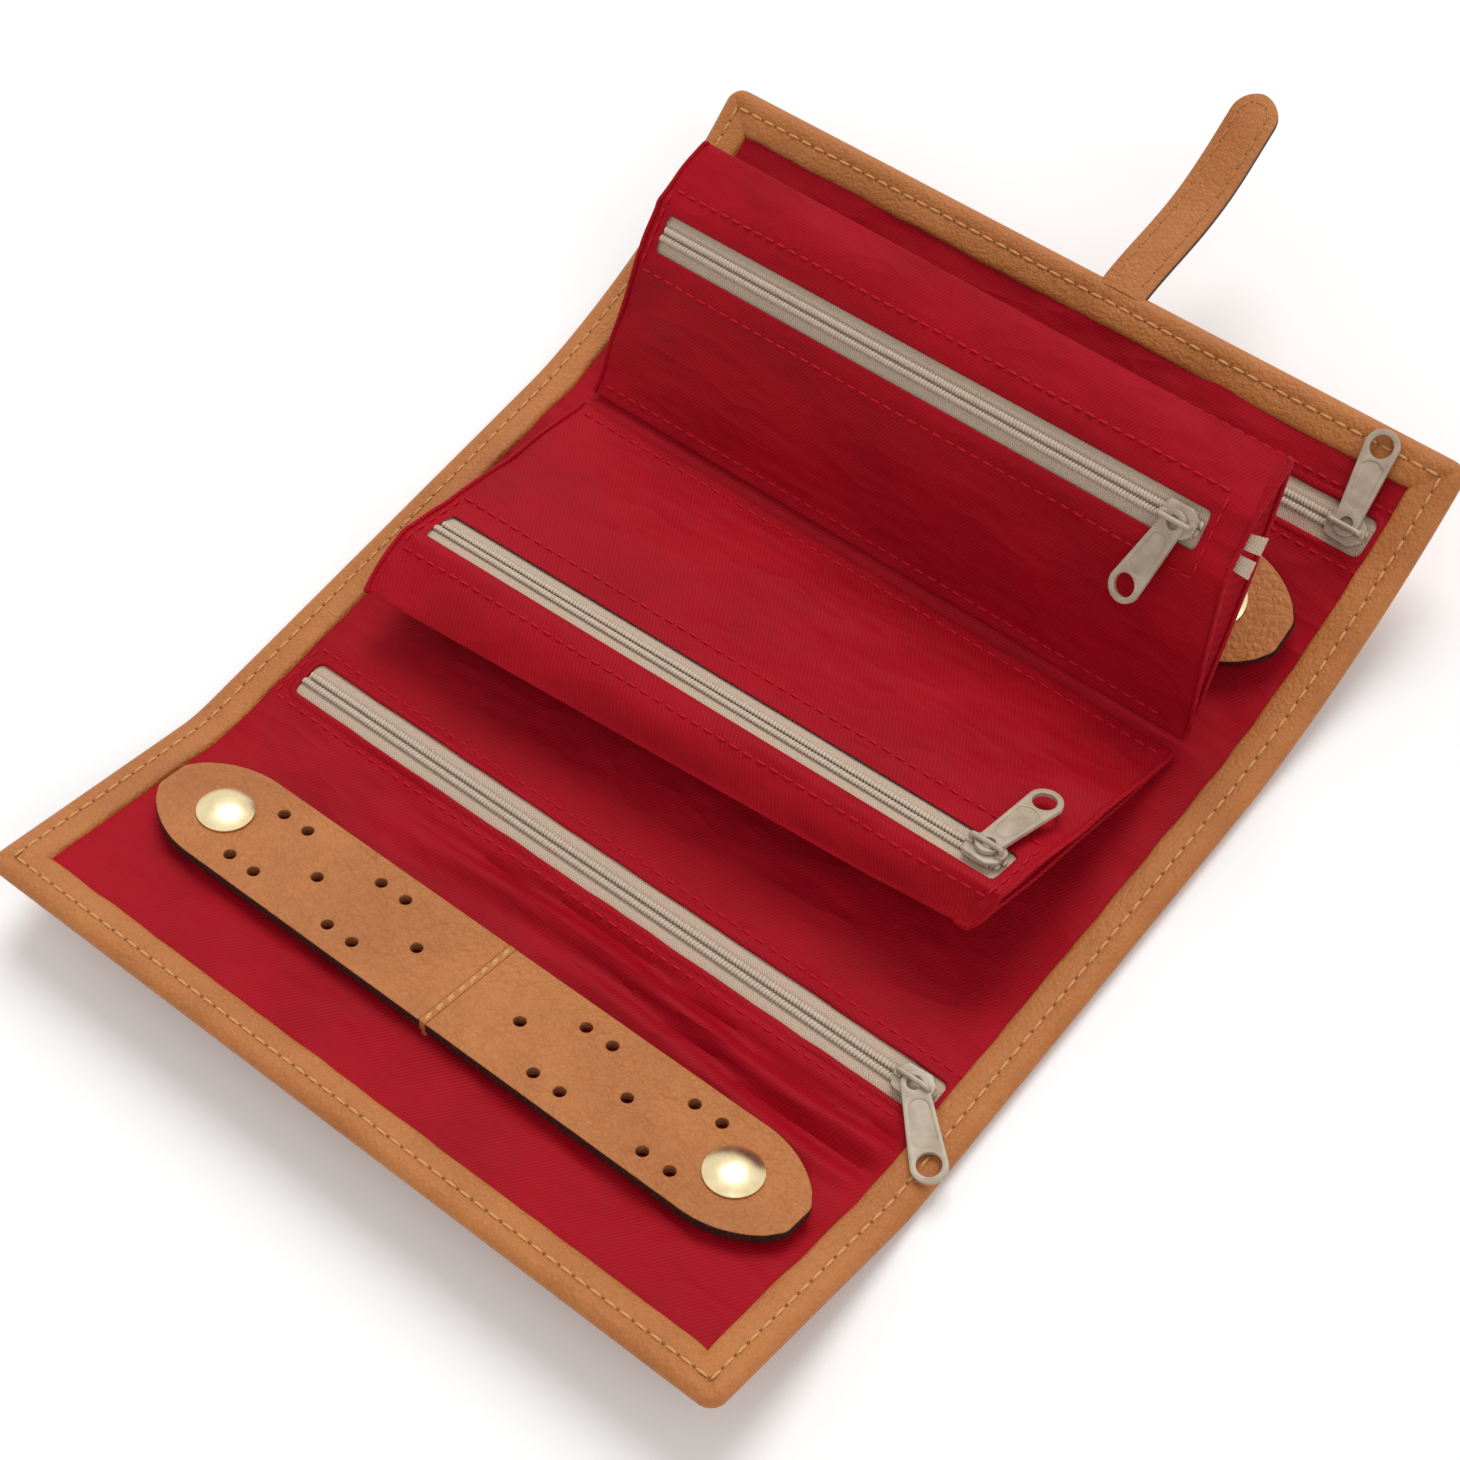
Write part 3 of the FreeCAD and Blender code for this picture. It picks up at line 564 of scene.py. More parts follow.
SATIN_LIGHT = tint(172, 12, 30)
SATIN_DARK = tint(144, 7, 23)
LEATHER = leather_finish("tan_leather", tint(191, 122, 66), tint(168, 99, 48), 0.95, 0.2)
STRAP_LEATHER = leather_finish("strap_leather", tint(189, 120, 66), tint(166, 99, 50), 1.5, 0.36)
EDGE = edge_and_shade_finish("painted_edge", tint(36, 19, 16), tint(84, 48, 32))
PUNCHED = edge_and_shade_finish("punched_holes", tint(150, 90, 56), tint(192, 126, 80))
SATIN = satin_finish("red_satin", SATIN_LIGHT, SATIN_DARK)
SATIN_TURNED = satin_finish("red_satin_turned", SATIN_LIGHT, SATIN_DARK, chart=False)
TONGUE_THREAD = thread_finish("tongue_thread", tint(202, 142, 88), tint(176, 112, 64))
TAN_THREAD = thread_finish("tan_thread", tint(224, 172, 110), tint(196, 138, 82))
RED_THREAD = thread_finish("red_thread", tint(206, 22, 42), tint(168, 12, 32))
# Needle holes: dark discs whose colour is painted shade for the pits.
NEEDLE_SHADE = edge_and_shade_finish("needle_hole_shade", tint(116, 68, 38), tint(156, 98, 56))
TAPE = tape_finish()
NYLON = nylon_finish()
ENAMEL = enamel_finish()
BRASS = brass_finish()
PLATING = plated_finish()


def dress(piece, *materials):
    piece.data.materials.clear()
    for material in materials:
        piece.data.materials.append(material)
    return piece


def follow(piece, panel):
    """Let a piece ride on the centre, or leave it fixed where it lies."""
    if panel == "centre":
        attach(piece, "base")
        return
    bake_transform(piece)


# The panels' leather and lining.
def border_path(end, side):
    """Outline of a panel that ends in two rounded corners, with the inward directions and its stops."""
    limit = abs(end)
    bend = limit - CORNER
    straight = stations(SEAM, bend, 2.2)
    edge = stations(-CASE_HALF + CORNER, CASE_HALF - CORNER, 3.2)
    spots = [(-CASE_HALF, reach) for reach in straight[:-1]]
    inward = [(1, 0)] * (len(straight) - 1)
    for x, first in ((-CASE_HALF + CORNER, 180), (CASE_HALF - CORNER, 90)):
        if x > 0:
            spots += [(along, limit) for along in edge[1:-1]]
            inward += [(0, -1)] * (len(edge) - 2)
        for turn in np.radians(np.linspace(first, first - 90, 11)):
            spots.append((x + CORNER * math.cos(turn), bend + CORNER * math.sin(turn)))
            inward.append((-math.cos(turn), -math.sin(turn)))
    spots += [(CASE_HALF, reach) for reach in straight[-2::-1]]
    inward += [(-1, 0)] * (len(straight) - 1)
    flip = np.array([1, side])
    return np.array(spots) * flip, np.array(inward) * flip, straight, edge


def inset(spots, inward, depth, end, side):
    """The path moved in from the edge, meeting in a mitre past the corner's radius."""
    moved = spots + inward * depth[:, None]
    past = depth > CORNER - 1e-6
    room = CASE_HALF - depth
    moved[:, 0] = np.where(past, np.clip(moved[:, 0], -room, room), moved[:, 0])
    far = side * np.minimum(side * moved[:, 1], abs(end) - depth)
    moved[:, 1] = np.where(past, far, moved[:, 1])
    return moved


def hem_lift(x, reach, depth):
    """Soft unevenness of the turned leather, more along its inner edge."""
    inner = eased((depth - 2) / 6)
    return 0.16 * ripple(x, reach, 34, 1.1) * inner + 0.09 * ripple(x, reach, 11, 2.7) * inner


def ended_cover(name, end, side):
    """The leather of the near or far panel: bottom, rolled edge and turned-in hem with mitred corners."""
    spots, inward, straight, edge = border_path(end, side)

    def place(station, level):
        index = station.astype(int)
        depth = BORDER[level.astype(int), 0].copy()
        height = BORDER[level.astype(int), 1].copy()
        on_hem = height > LINING_TOP
        base = spots[index]
        ragged = 0.22 * ripple(base[:, 0], base[:, 1], 7, 0.4)
        depth = depth + np.where(depth > HEM_EDGE, np.where(on_hem | (level < 2), ragged, 0), 0)
        moved = inset(base, inward[index], depth, end, side)
        lift = np.where(on_hem, hem_lift(moved[:, 0], moved[:, 1], depth), 0)
        slant = np.abs((CASE_HALF - np.abs(moved[:, 0])) - (abs(end) - side * moved[:, 1]))
        mitre = np.where(on_hem, 0.5 * np.exp(-(slant / 0.7) ** 2) * eased((depth - 0.5) / 2), 0)
        corner = np.maximum(CASE_HALF - np.abs(moved[:, 0]), abs(end) - side * moved[:, 1]) < 16
        return lay(moved[:, 0], moved[:, 1], height + lift - np.where(corner, mitre, 0))

    strip = sheet(name, np.arange(len(spots)), np.arange(len(BORDER)), place)
    depth = BORDER[-1, 0]
    columns = np.concatenate([[-CASE_HALF + depth], edge[1:-1], [CASE_HALF - depth]])
    columns = np.unique(np.clip(columns, -CASE_HALF + depth, CASE_HALF - depth))
    rows = np.unique(np.minimum(straight, abs(end) - depth))
    floor = sheet(f"{name}_floor", columns, rows, lambda x, reach: lay(x, side * reach, BORDER[-1, 1]))
    piece = tidy(join(strip, floor))
    refine(piece)
    return dress(smooth(piece, 60), LEATHER)


def centre_cover():
    """The centre panel's leather, from one hem's edge round under the panel to the other."""
    depth = np.concatenate([BORDER[:, 0], BORDER[::-1, 0]])
    height = np.concatenate([BORDER[:, 1], BORDER[::-1, 1]])
    hand = np.repeat([-1.0, 1.0], len(BORDER))

    def place(reach, level):
        index = level.astype(int)
        deep = depth[index]
        high = height[index]
        side = hand[index]
        on_hem = high > LINING_TOP
        turned = on_hem | (index < 2) | (index > len(depth) - 3)
        ragged = 0.22 * ripple(side * CASE_HALF, reach, 7, 0.4)
        deep = deep + np.where((deep > HEM_EDGE) & turned, ragged, 0)
        x = side * (CASE_HALF - deep)
        lift = np.where(on_hem, hem_lift(x, reach, deep), 0)
        return lay(x, reach, high + lift)

    piece = sheet("centre_leather", stations(-SEAM, SEAM, 2.2), np.arange(len(depth)), place)
    tidy(piece)
    refine(piece)
    return dress(smooth(piece, 60), LEATHER)


def zip_folds(x, reach):
    """Long folds in the lining beside the centre zip: deep pleats with a ridge after each."""
    off = CENTRE_ZIP - reach + 1.2 * np.sin(x / 17 + 1)
    drift = off + 1.5 * np.sin(x / 23)
    pleat = 2.4 * np.exp(-((off - 15.0) / 2.4) ** 2) - 1.9 * np.exp(-((off - 10.8) / 1.5) ** 2)
    second = 1.5 * np.exp(-((drift - 23.0) / 2.3) ** 2) - 1.3 * np.exp(-((drift - 19.2) / 1.5) ** 2)
    return pleat * eased((x + 55) / 45) + second * eased((x + 10) / 45)


def lining_height(x, reach):
    """The lining's loose waves: wider ones across the panels, and puckers along the seams."""
    wave = 0.6 * ripple(x * 0.45, reach, 34, 0.7) + 0.24 * ripple(x, reach, 15, 2.1)
    pucker = 0.14 * np.sin(x * 2.1 + 2 * np.sin(x * 0.31)) * np.exp(-((np.abs(reach) - FOLD_Y) / 2.5) ** 2)
    near_zip, near_far_zip = (np.exp(-((reach - line) / 6.5) ** 4) for line in (CENTRE_ZIP, FAR_ZIP))
    calm = 1 - near_zip - near_far_zip
    calm = calm * eased((CASE_HALF - HEM - np.abs(x)) / 6 + 0.15)
    calm = calm * (1 - np.exp(-((reach - FOLD_Y) / 10) ** 2))
    return LINING_TOP + 0.05 + (wave + zip_folds(x, reach)) * calm + pucker


def lining(name, low, high, zip_line=None):
    """Red lining of one panel, tucked under the hems and opened for its zip."""
    sides = CASE_HALF - TUCK
    gap = 0.3
    ends = [WINDOW_SHIFT + hand * (WINDOW_LENGTH / 2 + gap) for hand in (-1, 1)]
    edges = [] if zip_line is None else [zip_line + hand * (WINDOW_DEPTH / 2 + gap) for hand in (-1, 1)]
    columns = stations(-sides, sides, 2.4, *(ends if edges else []))
    rows = stations(low, high, 1.5, *edges)
    piece = sheet(name, columns, rows, lambda x, reach: lay(x, reach, lining_height(x, reach)))
    if edges:
        spots = np.array([lay(np.array(0.0), np.array(edge), LINING_TOP) for edge in edges]) * MM
        cut_out(piece, lambda face: ends[0] * MM < face.center.x < ends[1] * MM
                and spots[0][1] < face.center.y < spots[1][1])
    work(piece, "SOLIDIFY", thickness=0.3 * MM, offset=-1)
    refine(piece, subdivision_type="SIMPLE")
    return dress(smooth(tidy(piece, 0.001), 60), SATIN)


def rounded_path(half_x, half_y, radius, pitch):
    """Stops round a rectangle with rounded corners, with their outward directions."""
    spots, outward = [], []
    for quarter, (sx, sy) in enumerate(((1, 1), (-1, 1), (-1, -1), (1, -1))):
        first = 90 * quarter
        for turn in np.radians(np.linspace(first, first + 90, 6)):
            way = (math.cos(turn), math.sin(turn))
            spots.append((sx * (half_x - radius) + radius * way[0], sy * (half_y - radius) + radius * way[1]))
            outward.append(way)
        begin = np.array(spots[-1])
        next_sign = ((-1, 1), (-1, -1), (1, -1), (1, 1))[quarter]
        turn = math.radians(first + 90)
        way = (math.cos(turn), math.sin(turn))
        corner = np.array((next_sign[0] * (half_x - radius), next_sign[1] * (half_y - radius)))
        finish = corner + radius * np.array(way)
        count = max(1, int(np.linalg.norm(finish - begin) / pitch))
        for step in range(1, count):
            spots.append(tuple(begin + (finish - begin) * step / count))
            outward.append(way)
    return np.array(spots), np.array(outward)


LIP = np.array([(0.15, -0.5), (0.0, 0.05), (0.25, 0.36), (0.8, 0.4), (1.5, 0.22), (2.0, -0.05)])


def window_lip(name, zip_line):
    """The lining's folded edge round a zip window."""
    spots, outward = rounded_path(WINDOW_LENGTH / 2, WINDOW_DEPTH / 2, 1.5, 2.5)

    def place(station, level):
        index = station.astype(int) % len(spots)
        out, up = LIP[level.astype(int)].T
        flat = spots[index] + outward[index] * out[:, None]
        wave = 0.1 * ripple(flat[:, 0], flat[:, 1], 9, 0.9)
        x, reach = flat[:, 0] + WINDOW_SHIFT, zip_line + flat[:, 1] + wave
        settled = LINING_TOP + (lining_height(x, reach) - LINING_TOP) * eased(out / LIP[-1, 0])
        return lay(x, reach, settled + up + 0.6 * wave)

    piece = sheet(name, np.arange(len(spots) + 1), np.arange(len(LIP)), place)
    tidy(piece)
    refine(piece)
    return dress(smooth(piece, 60), SATIN)


# Stitching, one modelled stitch repeated along a line. Each seam's gauge is its pitch,
# the length of a stitch and the thread's size.
BORDER_GAUGE = (3.75, 3.0, 0.72)
LINING_GAUGE = (3.5, 2.8, 0.66)
STRAP_GAUGE = (3.3, 2.7, 1.25)
TONGUE_GAUGE = (3.9, 2.9, 0.55)


def stitch_pattern(length, size):
    """A thread that rises out of the cloth and dives back in."""
    lying = (0, math.pi / 2, 0)
    bpy.ops.mesh.primitive_uv_sphere_add(segments=8, ring_count=6, radius=0.5 * MM, rotation=lying)
    pattern = bpy.context.object
    bpy.ops.object.transform_apply(location=False, rotation=True, scale=False)
    pattern.data.transform(Matrix.Diagonal((length, size, size * 0.8, 1)))
    for point in pattern.data.vertices:
        share = point.co.x / (length / 2 * MM)
        point.co.z -= 0.28 * size * MM * share * share
    return pattern


def needle_pattern(size):
    """The little pit that a needle leaves, as a shallow disc whose dark colour is painted shade."""
    bpy.ops.mesh.primitive_uv_sphere_add(segments=8, ring_count=4, radius=0.5 * MM)
    pattern = bpy.context.object
    pattern.data.transform(Matrix.Diagonal((size, size, size * 0.25, 1)))
    return pattern


def line_frames(points, normals, pitch, shift=0.0, slant=0.0):
    """Frames spaced along a line, X along it and Z off the surface."""
    points = np.asarray(points)
    lengths = np.concatenate([[0], np.cumsum(np.linalg.norm(np.diff(points, axis=0), axis=1))])
    count = max(1, int(round(lengths[-1] / pitch)))
    stops = (np.arange(count) + 0.5 + shift) * lengths[-1] / count
    stops = stops[(stops > 0) & (stops < lengths[-1])]
    frames = []

    def between(values, stop):
        return np.array([np.interp(stop, lengths, values[:, axis]) for axis in range(3)])

    for stop in stops:
        spot = between(points, stop)
        up = between(normals, stop)
        along = between(points, stop + 0.4) - between(points, stop - 0.4)
        along /= np.linalg.norm(along)
        up -= along * (up @ along)
        up /= np.linalg.norm(up)
        side = np.cross(up, along)
        turned = along * math.cos(slant) + side * math.sin(slant)
        frames.append((np.stack([turned, np.cross(up, turned), up], 1), spot * MM))
    return frames


def sew(name, lines, gauge, thread, needles=True, slant=0.0):
    """Stitches along lines of points, each with dark discs of painted shade at its needle holes."""
    pitch, length, size = gauge
    frames = [part for points, normals in lines for part in line_frames(points, normals, pitch, slant=slant)]
    stitches = dress(copies(name, stitch_pattern(length, size), frames), thread)
    if not needles:
        return [stitches]
    pits = [part for points, normals in lines for part in line_frames(points, normals, pitch, shift=0.5)]
    holes = dress(copies(f"{name}_needle_hole_shade", needle_pattern(size * 0.85), pits), NEEDLE_SHADE)
    return [stitches, holes]


def on_panel(flat, height):
    """A line on a panel, with the direction off its surface."""
    flat = np.asarray(flat)
    points = lay(flat[:, 0], flat[:, 1], height)
    above = lay(flat[:, 0], flat[:, 1], height + 1.0)
    return points, above - points


def border_seam(panel, end=None, side=0):
    """The line of stitches along a panel's leather border."""
    if panel == "centre":
        runs = [np.stack([np.full(60, x), np.linspace(-SEAM, SEAM, 60)], 1)
                for x in (-CASE_HALF + STITCH_IN, CASE_HALF - STITCH_IN)]
        return [on_panel(run, HEM_TOP) for run in runs]
    spots, inward = border_path(end, side)[:2]
    return [on_panel(inset(spots, inward, np.full(len(spots), STITCH_IN), end, side), HEM_TOP)]


def window_seam(zip_line):
    """The red stitches round a zip window."""
    out = 3.0
    half_x, half_y = WINDOW_LENGTH / 2 + out, WINDOW_DEPTH / 2 + out
    corners = [(-half_x, -half_y), (half_x, -half_y), (half_x, half_y), (-half_x, half_y), (-half_x, -half_y)]
    lines = []
    for begin, finish in zip(corners, corners[1:]):
        run = np.linspace(begin, finish, 50) + np.array([WINDOW_SHIFT, zip_line])
        lines.append(on_panel(run, lining_height(run[:, 0], run[:, 1]) + 0.12))
    return lines


# A zip's own axes, read from its tapes in the frame.
class Zip:
    def __init__(self, name):
        self.name = name
        spots = np.array([point.co for point in frame["nodes"][f"{name}_zip_tapes"].data.vertices]) / MM
        middle = spots.mean(0)
        axes = np.linalg.svd(spots - middle)[2]
        along = axes[0] * np.sign(axes[0][0])
        up = axes[2] * np.sign(axes[2][2])
        self.axes = np.stack([along, np.cross(up, along), up])
        own = spots @ self.axes.T
        low, high = own.min(0), own.max(0)
        self.half = (high[0] - low[0]) / 2
        self.width = high[1] - low[1]
        self.origin = np.array([(low[0] + high[0]) / 2, (low[1] + high[1]) / 2, high[2]]) @ self.axes
        pull = pivot(f"{name}_pull_swing")
        self.pin = (pull - self.origin) @ self.axes.T
        leaf = np.array([point.co for point in frame["nodes"][f"{name}_zip_pull"].data.vertices]) / MM
        leaf = (leaf - pull) @ self.axes.T
        reach = np.linalg.norm(leaf, axis=1)
        self.aim = leaf[reach > 0.93 * reach.max()].mean(0)

    def place(self, spots):
        return spots @ self.axes + self.origin

    def put(self, piece):
        return put(piece, self.axes, self.origin)


def tape_tails(own, seam):
    """The cut ends of both tapes, curling past the seam that holds them."""
    tails = []
    for hand, droop in ((-1, 0.16), (1, 0.24)):

        def place(x, y):
            past = np.clip(x - seam, 0, None)
            return own.place(np.stack([x, hand * y * (1 + 0.04 * past), -0.5 - droop * past ** 1.6], -1))

        tails.append(sheet("tail", np.linspace(seam - 3, seam + 3.6, 9), np.linspace(0.6, 4.0, 4), place))
    return tails


def zip_tapes(own, margin, trim, seam):
    """Both tapes as one woven strip, with a cord ridge beside the coils and a thin selvedge."""
    half_width = own.width / 2 - trim
    rows = np.array([-1.0, -0.88, -0.76, -0.68, -0.5, -0.42, -0.37, -0.32, -0.26, -0.1, 0.1,
                     0.26, 0.32, 0.37, 0.42, 0.5, 0.68, 0.76, 0.88, 1.0]) * half_width
    columns = stations(-own.half - margin, own.half + margin, 2.5)

    def place(x, y):
        ridge = 0.18 * np.exp(-((np.abs(y) - 0.39 * half_width) / 0.5) ** 2)
        wave = 0.1 * ripple(x, y * 2, 23, 1.4) * (np.abs(y) / half_width)
        sewn_under = 0.9 * eased((np.abs(y) - PAGE_WINDOW - 0.1) / 1.2)
        return own.place(np.stack([x, y, ridge + wave - 0.1 - sewn_under], -1))

    piece = sheet(f"{own.name}_tape", columns, rows, place)
    if seam:
        join(piece, *tape_tails(own, seam))
    work(piece, "SOLIDIFY", thickness=0.25 * MM, offset=-1)
    return dress(smooth(tidy(piece, 0.001), 60), TAPE)


def zip_coils(own):
    """Two rows of nylon turns, leaning towards each other, with each end of the tape left bare."""
    pitch = 0.84
    bare = 2.2
    bpy.ops.mesh.primitive_uv_sphere_add(segments=10, ring_count=6, radius=0.5 * MM)
    pattern = bpy.context.object
    pattern.data.transform(Matrix.Diagonal((1.0, 1.75, 1.05, 1)))
    length = own.half - bare
    count = int(2 * length / pitch)
    frames = []
    for hand in (-1, 1):
        turn = np.array(Matrix.Rotation(hand * 0.24, 3, "Z"))
        for number in range(count):
            x = -length + (number + 0.5 + 0.25 * hand) * pitch
            spot = np.array([x, hand * 0.98, 0.55])
            frames.append((own.axes.T @ turn, own.place(spot) * MM))
    piece = copies(f"{own.name}_coils", pattern, frames)
    return dress(piece, NYLON)


def zip_slider(own):
    """A cast slider: two shield-shaped plates on a neck, side lips and an arched bail."""
    top, bottom = 1.6, -1.05
    shape = [(-4.3, -1.5), (-4.3, 1.5), *arc(-3.0, 2.2, 1.0, 160, 90, 4), *arc(1.6, 1.7, 1.8, 90, 50, 5),
             *arc(3.4, 1.4, 0.9, 60, 0, 4), (4.3, 0.5), (3.5, 0.0), (4.3, -0.5),
             *arc(3.4, -1.4, 0.9, 0, -60, 4),
             *arc(1.6, -1.7, 1.8, -50, -90, 5), *arc(-3.0, -2.2, 1.0, -90, -160, 4)]
    upper = move(outline_plate("plate", [shape], 1.0, 0.28), z=top)
    lower = move(outline_plate("plate", [shape], 0.5, 0.15), z=bottom)
    lips = []
    for hand in (-1, 1):
        line = [(-3.6, hand * 2.75, 1.5), (0.5, hand * 3.05, 1.5), (2.8, hand * 2.6, 1.5)]
        lips.append(tube("lip", line, 1.1))
    crown = [(-3.7, 0, 2.2), (-3.74, 0, 3.6), (-3.55, 0, 4.45), (-2.9, 0, 4.55), (0, 0, 4.55), (2.9, 0, 4.55),
             (3.55, 0, 4.45), (3.74, 0, 3.6), (3.7, 0, 2.2)]
    bail = tube("bail", crown, 1.24)
    foot = rounded_path(0.95, 1.0, 0.5, 2)[0]
    feet = [move(outline_plate("foot", [foot], 0.8, 0.2), x=x, z=2.4) for x in (-3.7, 3.7)]
    piece = join(upper, lower, *lips, bail, *feet)
    piece.name = f"{own.name}_slider_body"
    move(piece, x=own.pin[0])
    return dress(smooth(own.put(piece), 40), ENAMEL)


def pull_tab(own):
    """A tapered tab with a rim, a sunk face, a large hole and a ring under the slider's bail."""
    end = 18.3
    wide = 3.9
    ring = 2.75
    neck = ring + 0.1
    outer = [*arc(0, 0.6, ring, 360, 180, 15), (-neck, 2.2), *arc(0, end, wide, 174, 6, 21), (neck, 2.2)]
    holes = [arc(0, end, 2.6, 0, 345, 24), arc(0, 0.6, 1.55, 0, 340, 18)]
    sunk = [*arc(0, 6.2, 2.1, 180, 360, 11), (2.6, 13.6), *arc(0, 11.9, 3.0, 50, 130, 5), (-2.6, 13.6)]
    core = move(outline_plate("core", [outer, *holes], 0.7, 0.2), z=-0.35)
    rim = [outer, *holes, sunk]
    faces = [move(outline_plate("face", rim, 0.4, 0.15), z=height) for height in (0.16, -0.56)]
    piece = join(core, *faces)
    piece.name = f"{own.name}_pull_tab"
    root = np.array([0.0, 0.0, -1.22])
    along = own.aim - root
    along /= np.linalg.norm(along)
    level = np.array([along[0], along[1], 0])
    level /= np.linalg.norm(level)
    up = level * -along[2] + np.array([0, 0, math.hypot(along[0], along[1])])
    put(piece, np.stack([np.cross(along, up), along, up]), own.pin + root)
    return dress(smooth(own.put(piece), 40), ENAMEL)


def zip_set(name, body, margin, trim, seam=None):
    """Tapes, coils, slider and pull of one zip, each on its own body."""
    own = Zip(name)
    pieces = (
        (zip_tapes(own, margin, trim, seam), body, "tapes", "zip_tape"),
        (zip_coils(own), body, "coils", "zip_coil"),
        (zip_slider(own), f"{name}_slider", "slider", "zip_metal"),
        (pull_tab(own), f"{name}_pull", "pull", "zip_metal"),
    )
    for piece, carrier, node, slot in pieces:
        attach(piece, carrier)
        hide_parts(f"{name}_zip_{node}")


# The panels.
def panel_covers():
    for panel, cover, ends in (
        ("near", ended_cover("near_leather", NEAR_END, -1), (NEAR_END, -1)),
        ("centre", centre_cover(), (None, 0)),
        ("far", ended_cover("far_leather", FAR_END, 1), (FAR_END, 1)),
    ):
        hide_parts(f"{panel}_cover", f"{panel}_padding")
        follow(cover, panel)
        for piece in sew(f"{panel}_border_stitches", border_seam(panel, *ends), BORDER_GAUGE, TAN_THREAD):
            follow(piece, panel)


def panel_linings():
    cloth = {
        "near": lining("near_satin", NEAR_END + TUCK, -SEAM),
        "centre": lining("centre_satin", -SEAM, SEAM, CENTRE_ZIP),
        "far": lining("far_satin", SEAM, FAR_END - TUCK, FAR_ZIP),
    }
    for panel, piece in cloth.items():
        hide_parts(f"{panel}_lining")
        if panel != "near":
            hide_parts(f"{panel}_pocket_bag")
        follow(piece, panel)


def panel_pockets():
    for panel, line, body in (("centre", CENTRE_ZIP, "base"), ("far", FAR_ZIP, "far_panel")):
        lip = window_lip(f"{panel}_window_lip", line)
        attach(lip, body)
        stitches = sew(f"{panel}_window_stitches", window_seam(line), LINING_GAUGE, RED_THREAD, needles=False)
        for piece in stitches:
            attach(piece, body)
    zip_set("centre", "base", 1.0, 0.6)
    zip_set("far", "far_panel", 1.0, 0.6)


# The perforated straps.
STRAP_WIDTH = 27.0
STRAP_HALF = 86.6
STRAP_PLY = 2.6
STRAP_TAPER = 18.6
STRAP_TIP = 8.6
STRAP_ROOT = 0.9
HOLE = 2.7
HOLE_PITCH = 14.3
HOLE_ROW = 7.9
HOLE_PAIR = 7.0
SNAP_REACH = 70.2
CAP_SIZE = 12.5
CAP_HEIGHT = 2.4


def strap_flap(name):
    """One punched half of a strap, rounded to a narrow tip, with painted edges."""
    edge = STRAP_WIDTH / 2
    straight = STRAP_HALF - STRAP_TAPER
    drop = edge - STRAP_TIP / 2
    radius = (STRAP_TAPER ** 2 + drop ** 2) / (2 * drop)
    sweep = math.degrees(math.asin(STRAP_TAPER / radius))
    blunt = 3.2
    nose = STRAP_HALF - blunt
    bow = arc(straight, radius - edge, radius, -90, sweep - 99, 12)
    tip = STRAP_TIP / 2 - 1.6
    outer = [(STRAP_ROOT, -edge), *bow, *arc(nose, -tip, blunt, -36, 0, 5), *arc(nose, tip, blunt, 0, 36, 5),
             *[(x, -y) for x, y in bow[::-1]], (STRAP_ROOT, edge)]
    rings = [arc(step * HOLE_PITCH, 0, HOLE / 2, 0, 340, 18) for step in (1, 3)]
    rings += [arc(step * HOLE_PITCH + shift * HOLE_PAIR / 2, row * HOLE_ROW, HOLE / 2, 0, 340, 18)
              for step in (2, 4) for shift in (-1, 1) for row in (-1, 1)]
    piece = outline_plate(name, [outer, *rings], STRAP_PLY, 0.3)
    dress(piece, STRAP_LEATHER, EDGE, PUNCHED)
    centres = np.array([np.mean(ring, axis=0) for ring in rings]) * MM
    for face in piece.data.polygons:
        if abs(face.normal.z) < 0.45:
            gap = np.linalg.norm(centres - np.array(face.center[:2]), axis=1).min()
            face.material_index = 2 if gap < 0.6 * HOLE * MM else 1
    return smooth(piece, 35)


def lathe(name, profile, count):
    """A turned shape from its radius and height down one side."""
    profile = np.asarray(profile)

    def place(turn, level):
        radius, height = profile[level.astype(int)].T
        return np.stack([radius * np.cos(turn), radius * np.sin(turn), height], -1)

    piece = sheet(name, np.linspace(0, 2 * math.pi, count + 1), np.arange(len(profile)), place)
    return smooth(tidy(piece, 0.005), 35)


def snap_cap(name):
    """A domed brass cap with a rolled rim, its shank and the socket under the strap."""
    size = CAP_SIZE / 2
    rise = CAP_HEIGHT - 0.6
    radius = (size ** 2 + rise ** 2) / (2 * rise)
    centre = STRAP_PLY + CAP_HEIGHT - radius
    reach = math.degrees(math.asin(size / radius))
    dome = [(max(x, 0.0), y) for x, y in arc(0, centre, radius, 90, 90 - reach, 16)]
    rim = [(size + 0.05, STRAP_PLY + 0.45), (size - 0.05, STRAP_PLY + 0.12), (size - 0.5, STRAP_PLY - 0.05)]
    shank = [(2.0, STRAP_PLY - 0.05), (2.0, 0.0)]
    socket = [(4.6, 0.0), (5.0, -0.3), (5.0, -1.3), (4.7, -1.6), (2.1, -1.6), (2.1, -0.2), (0.0, -0.2)]
    piece = lathe(name, dome + rim + shank + socket, 48)
    return dress(move(piece, x=SNAP_REACH), BRASS)


def strap_axes(name, side):
    """The strap's own axes and the underside of its root, read from its hinges."""
    left, right = pivot(f"{name}_left_lift"), pivot(f"{name}_right_lift")
    across = np.array(JOINTS[f"{name}_right_lift"]["axis"])
    along = np.array([1.0, 0.0, 0.0])
    up = np.cross(along, across)
    origin = (left + right) / 2 - up * STRAP_PLY
    return np.stack([along * side, across * side, up]), origin


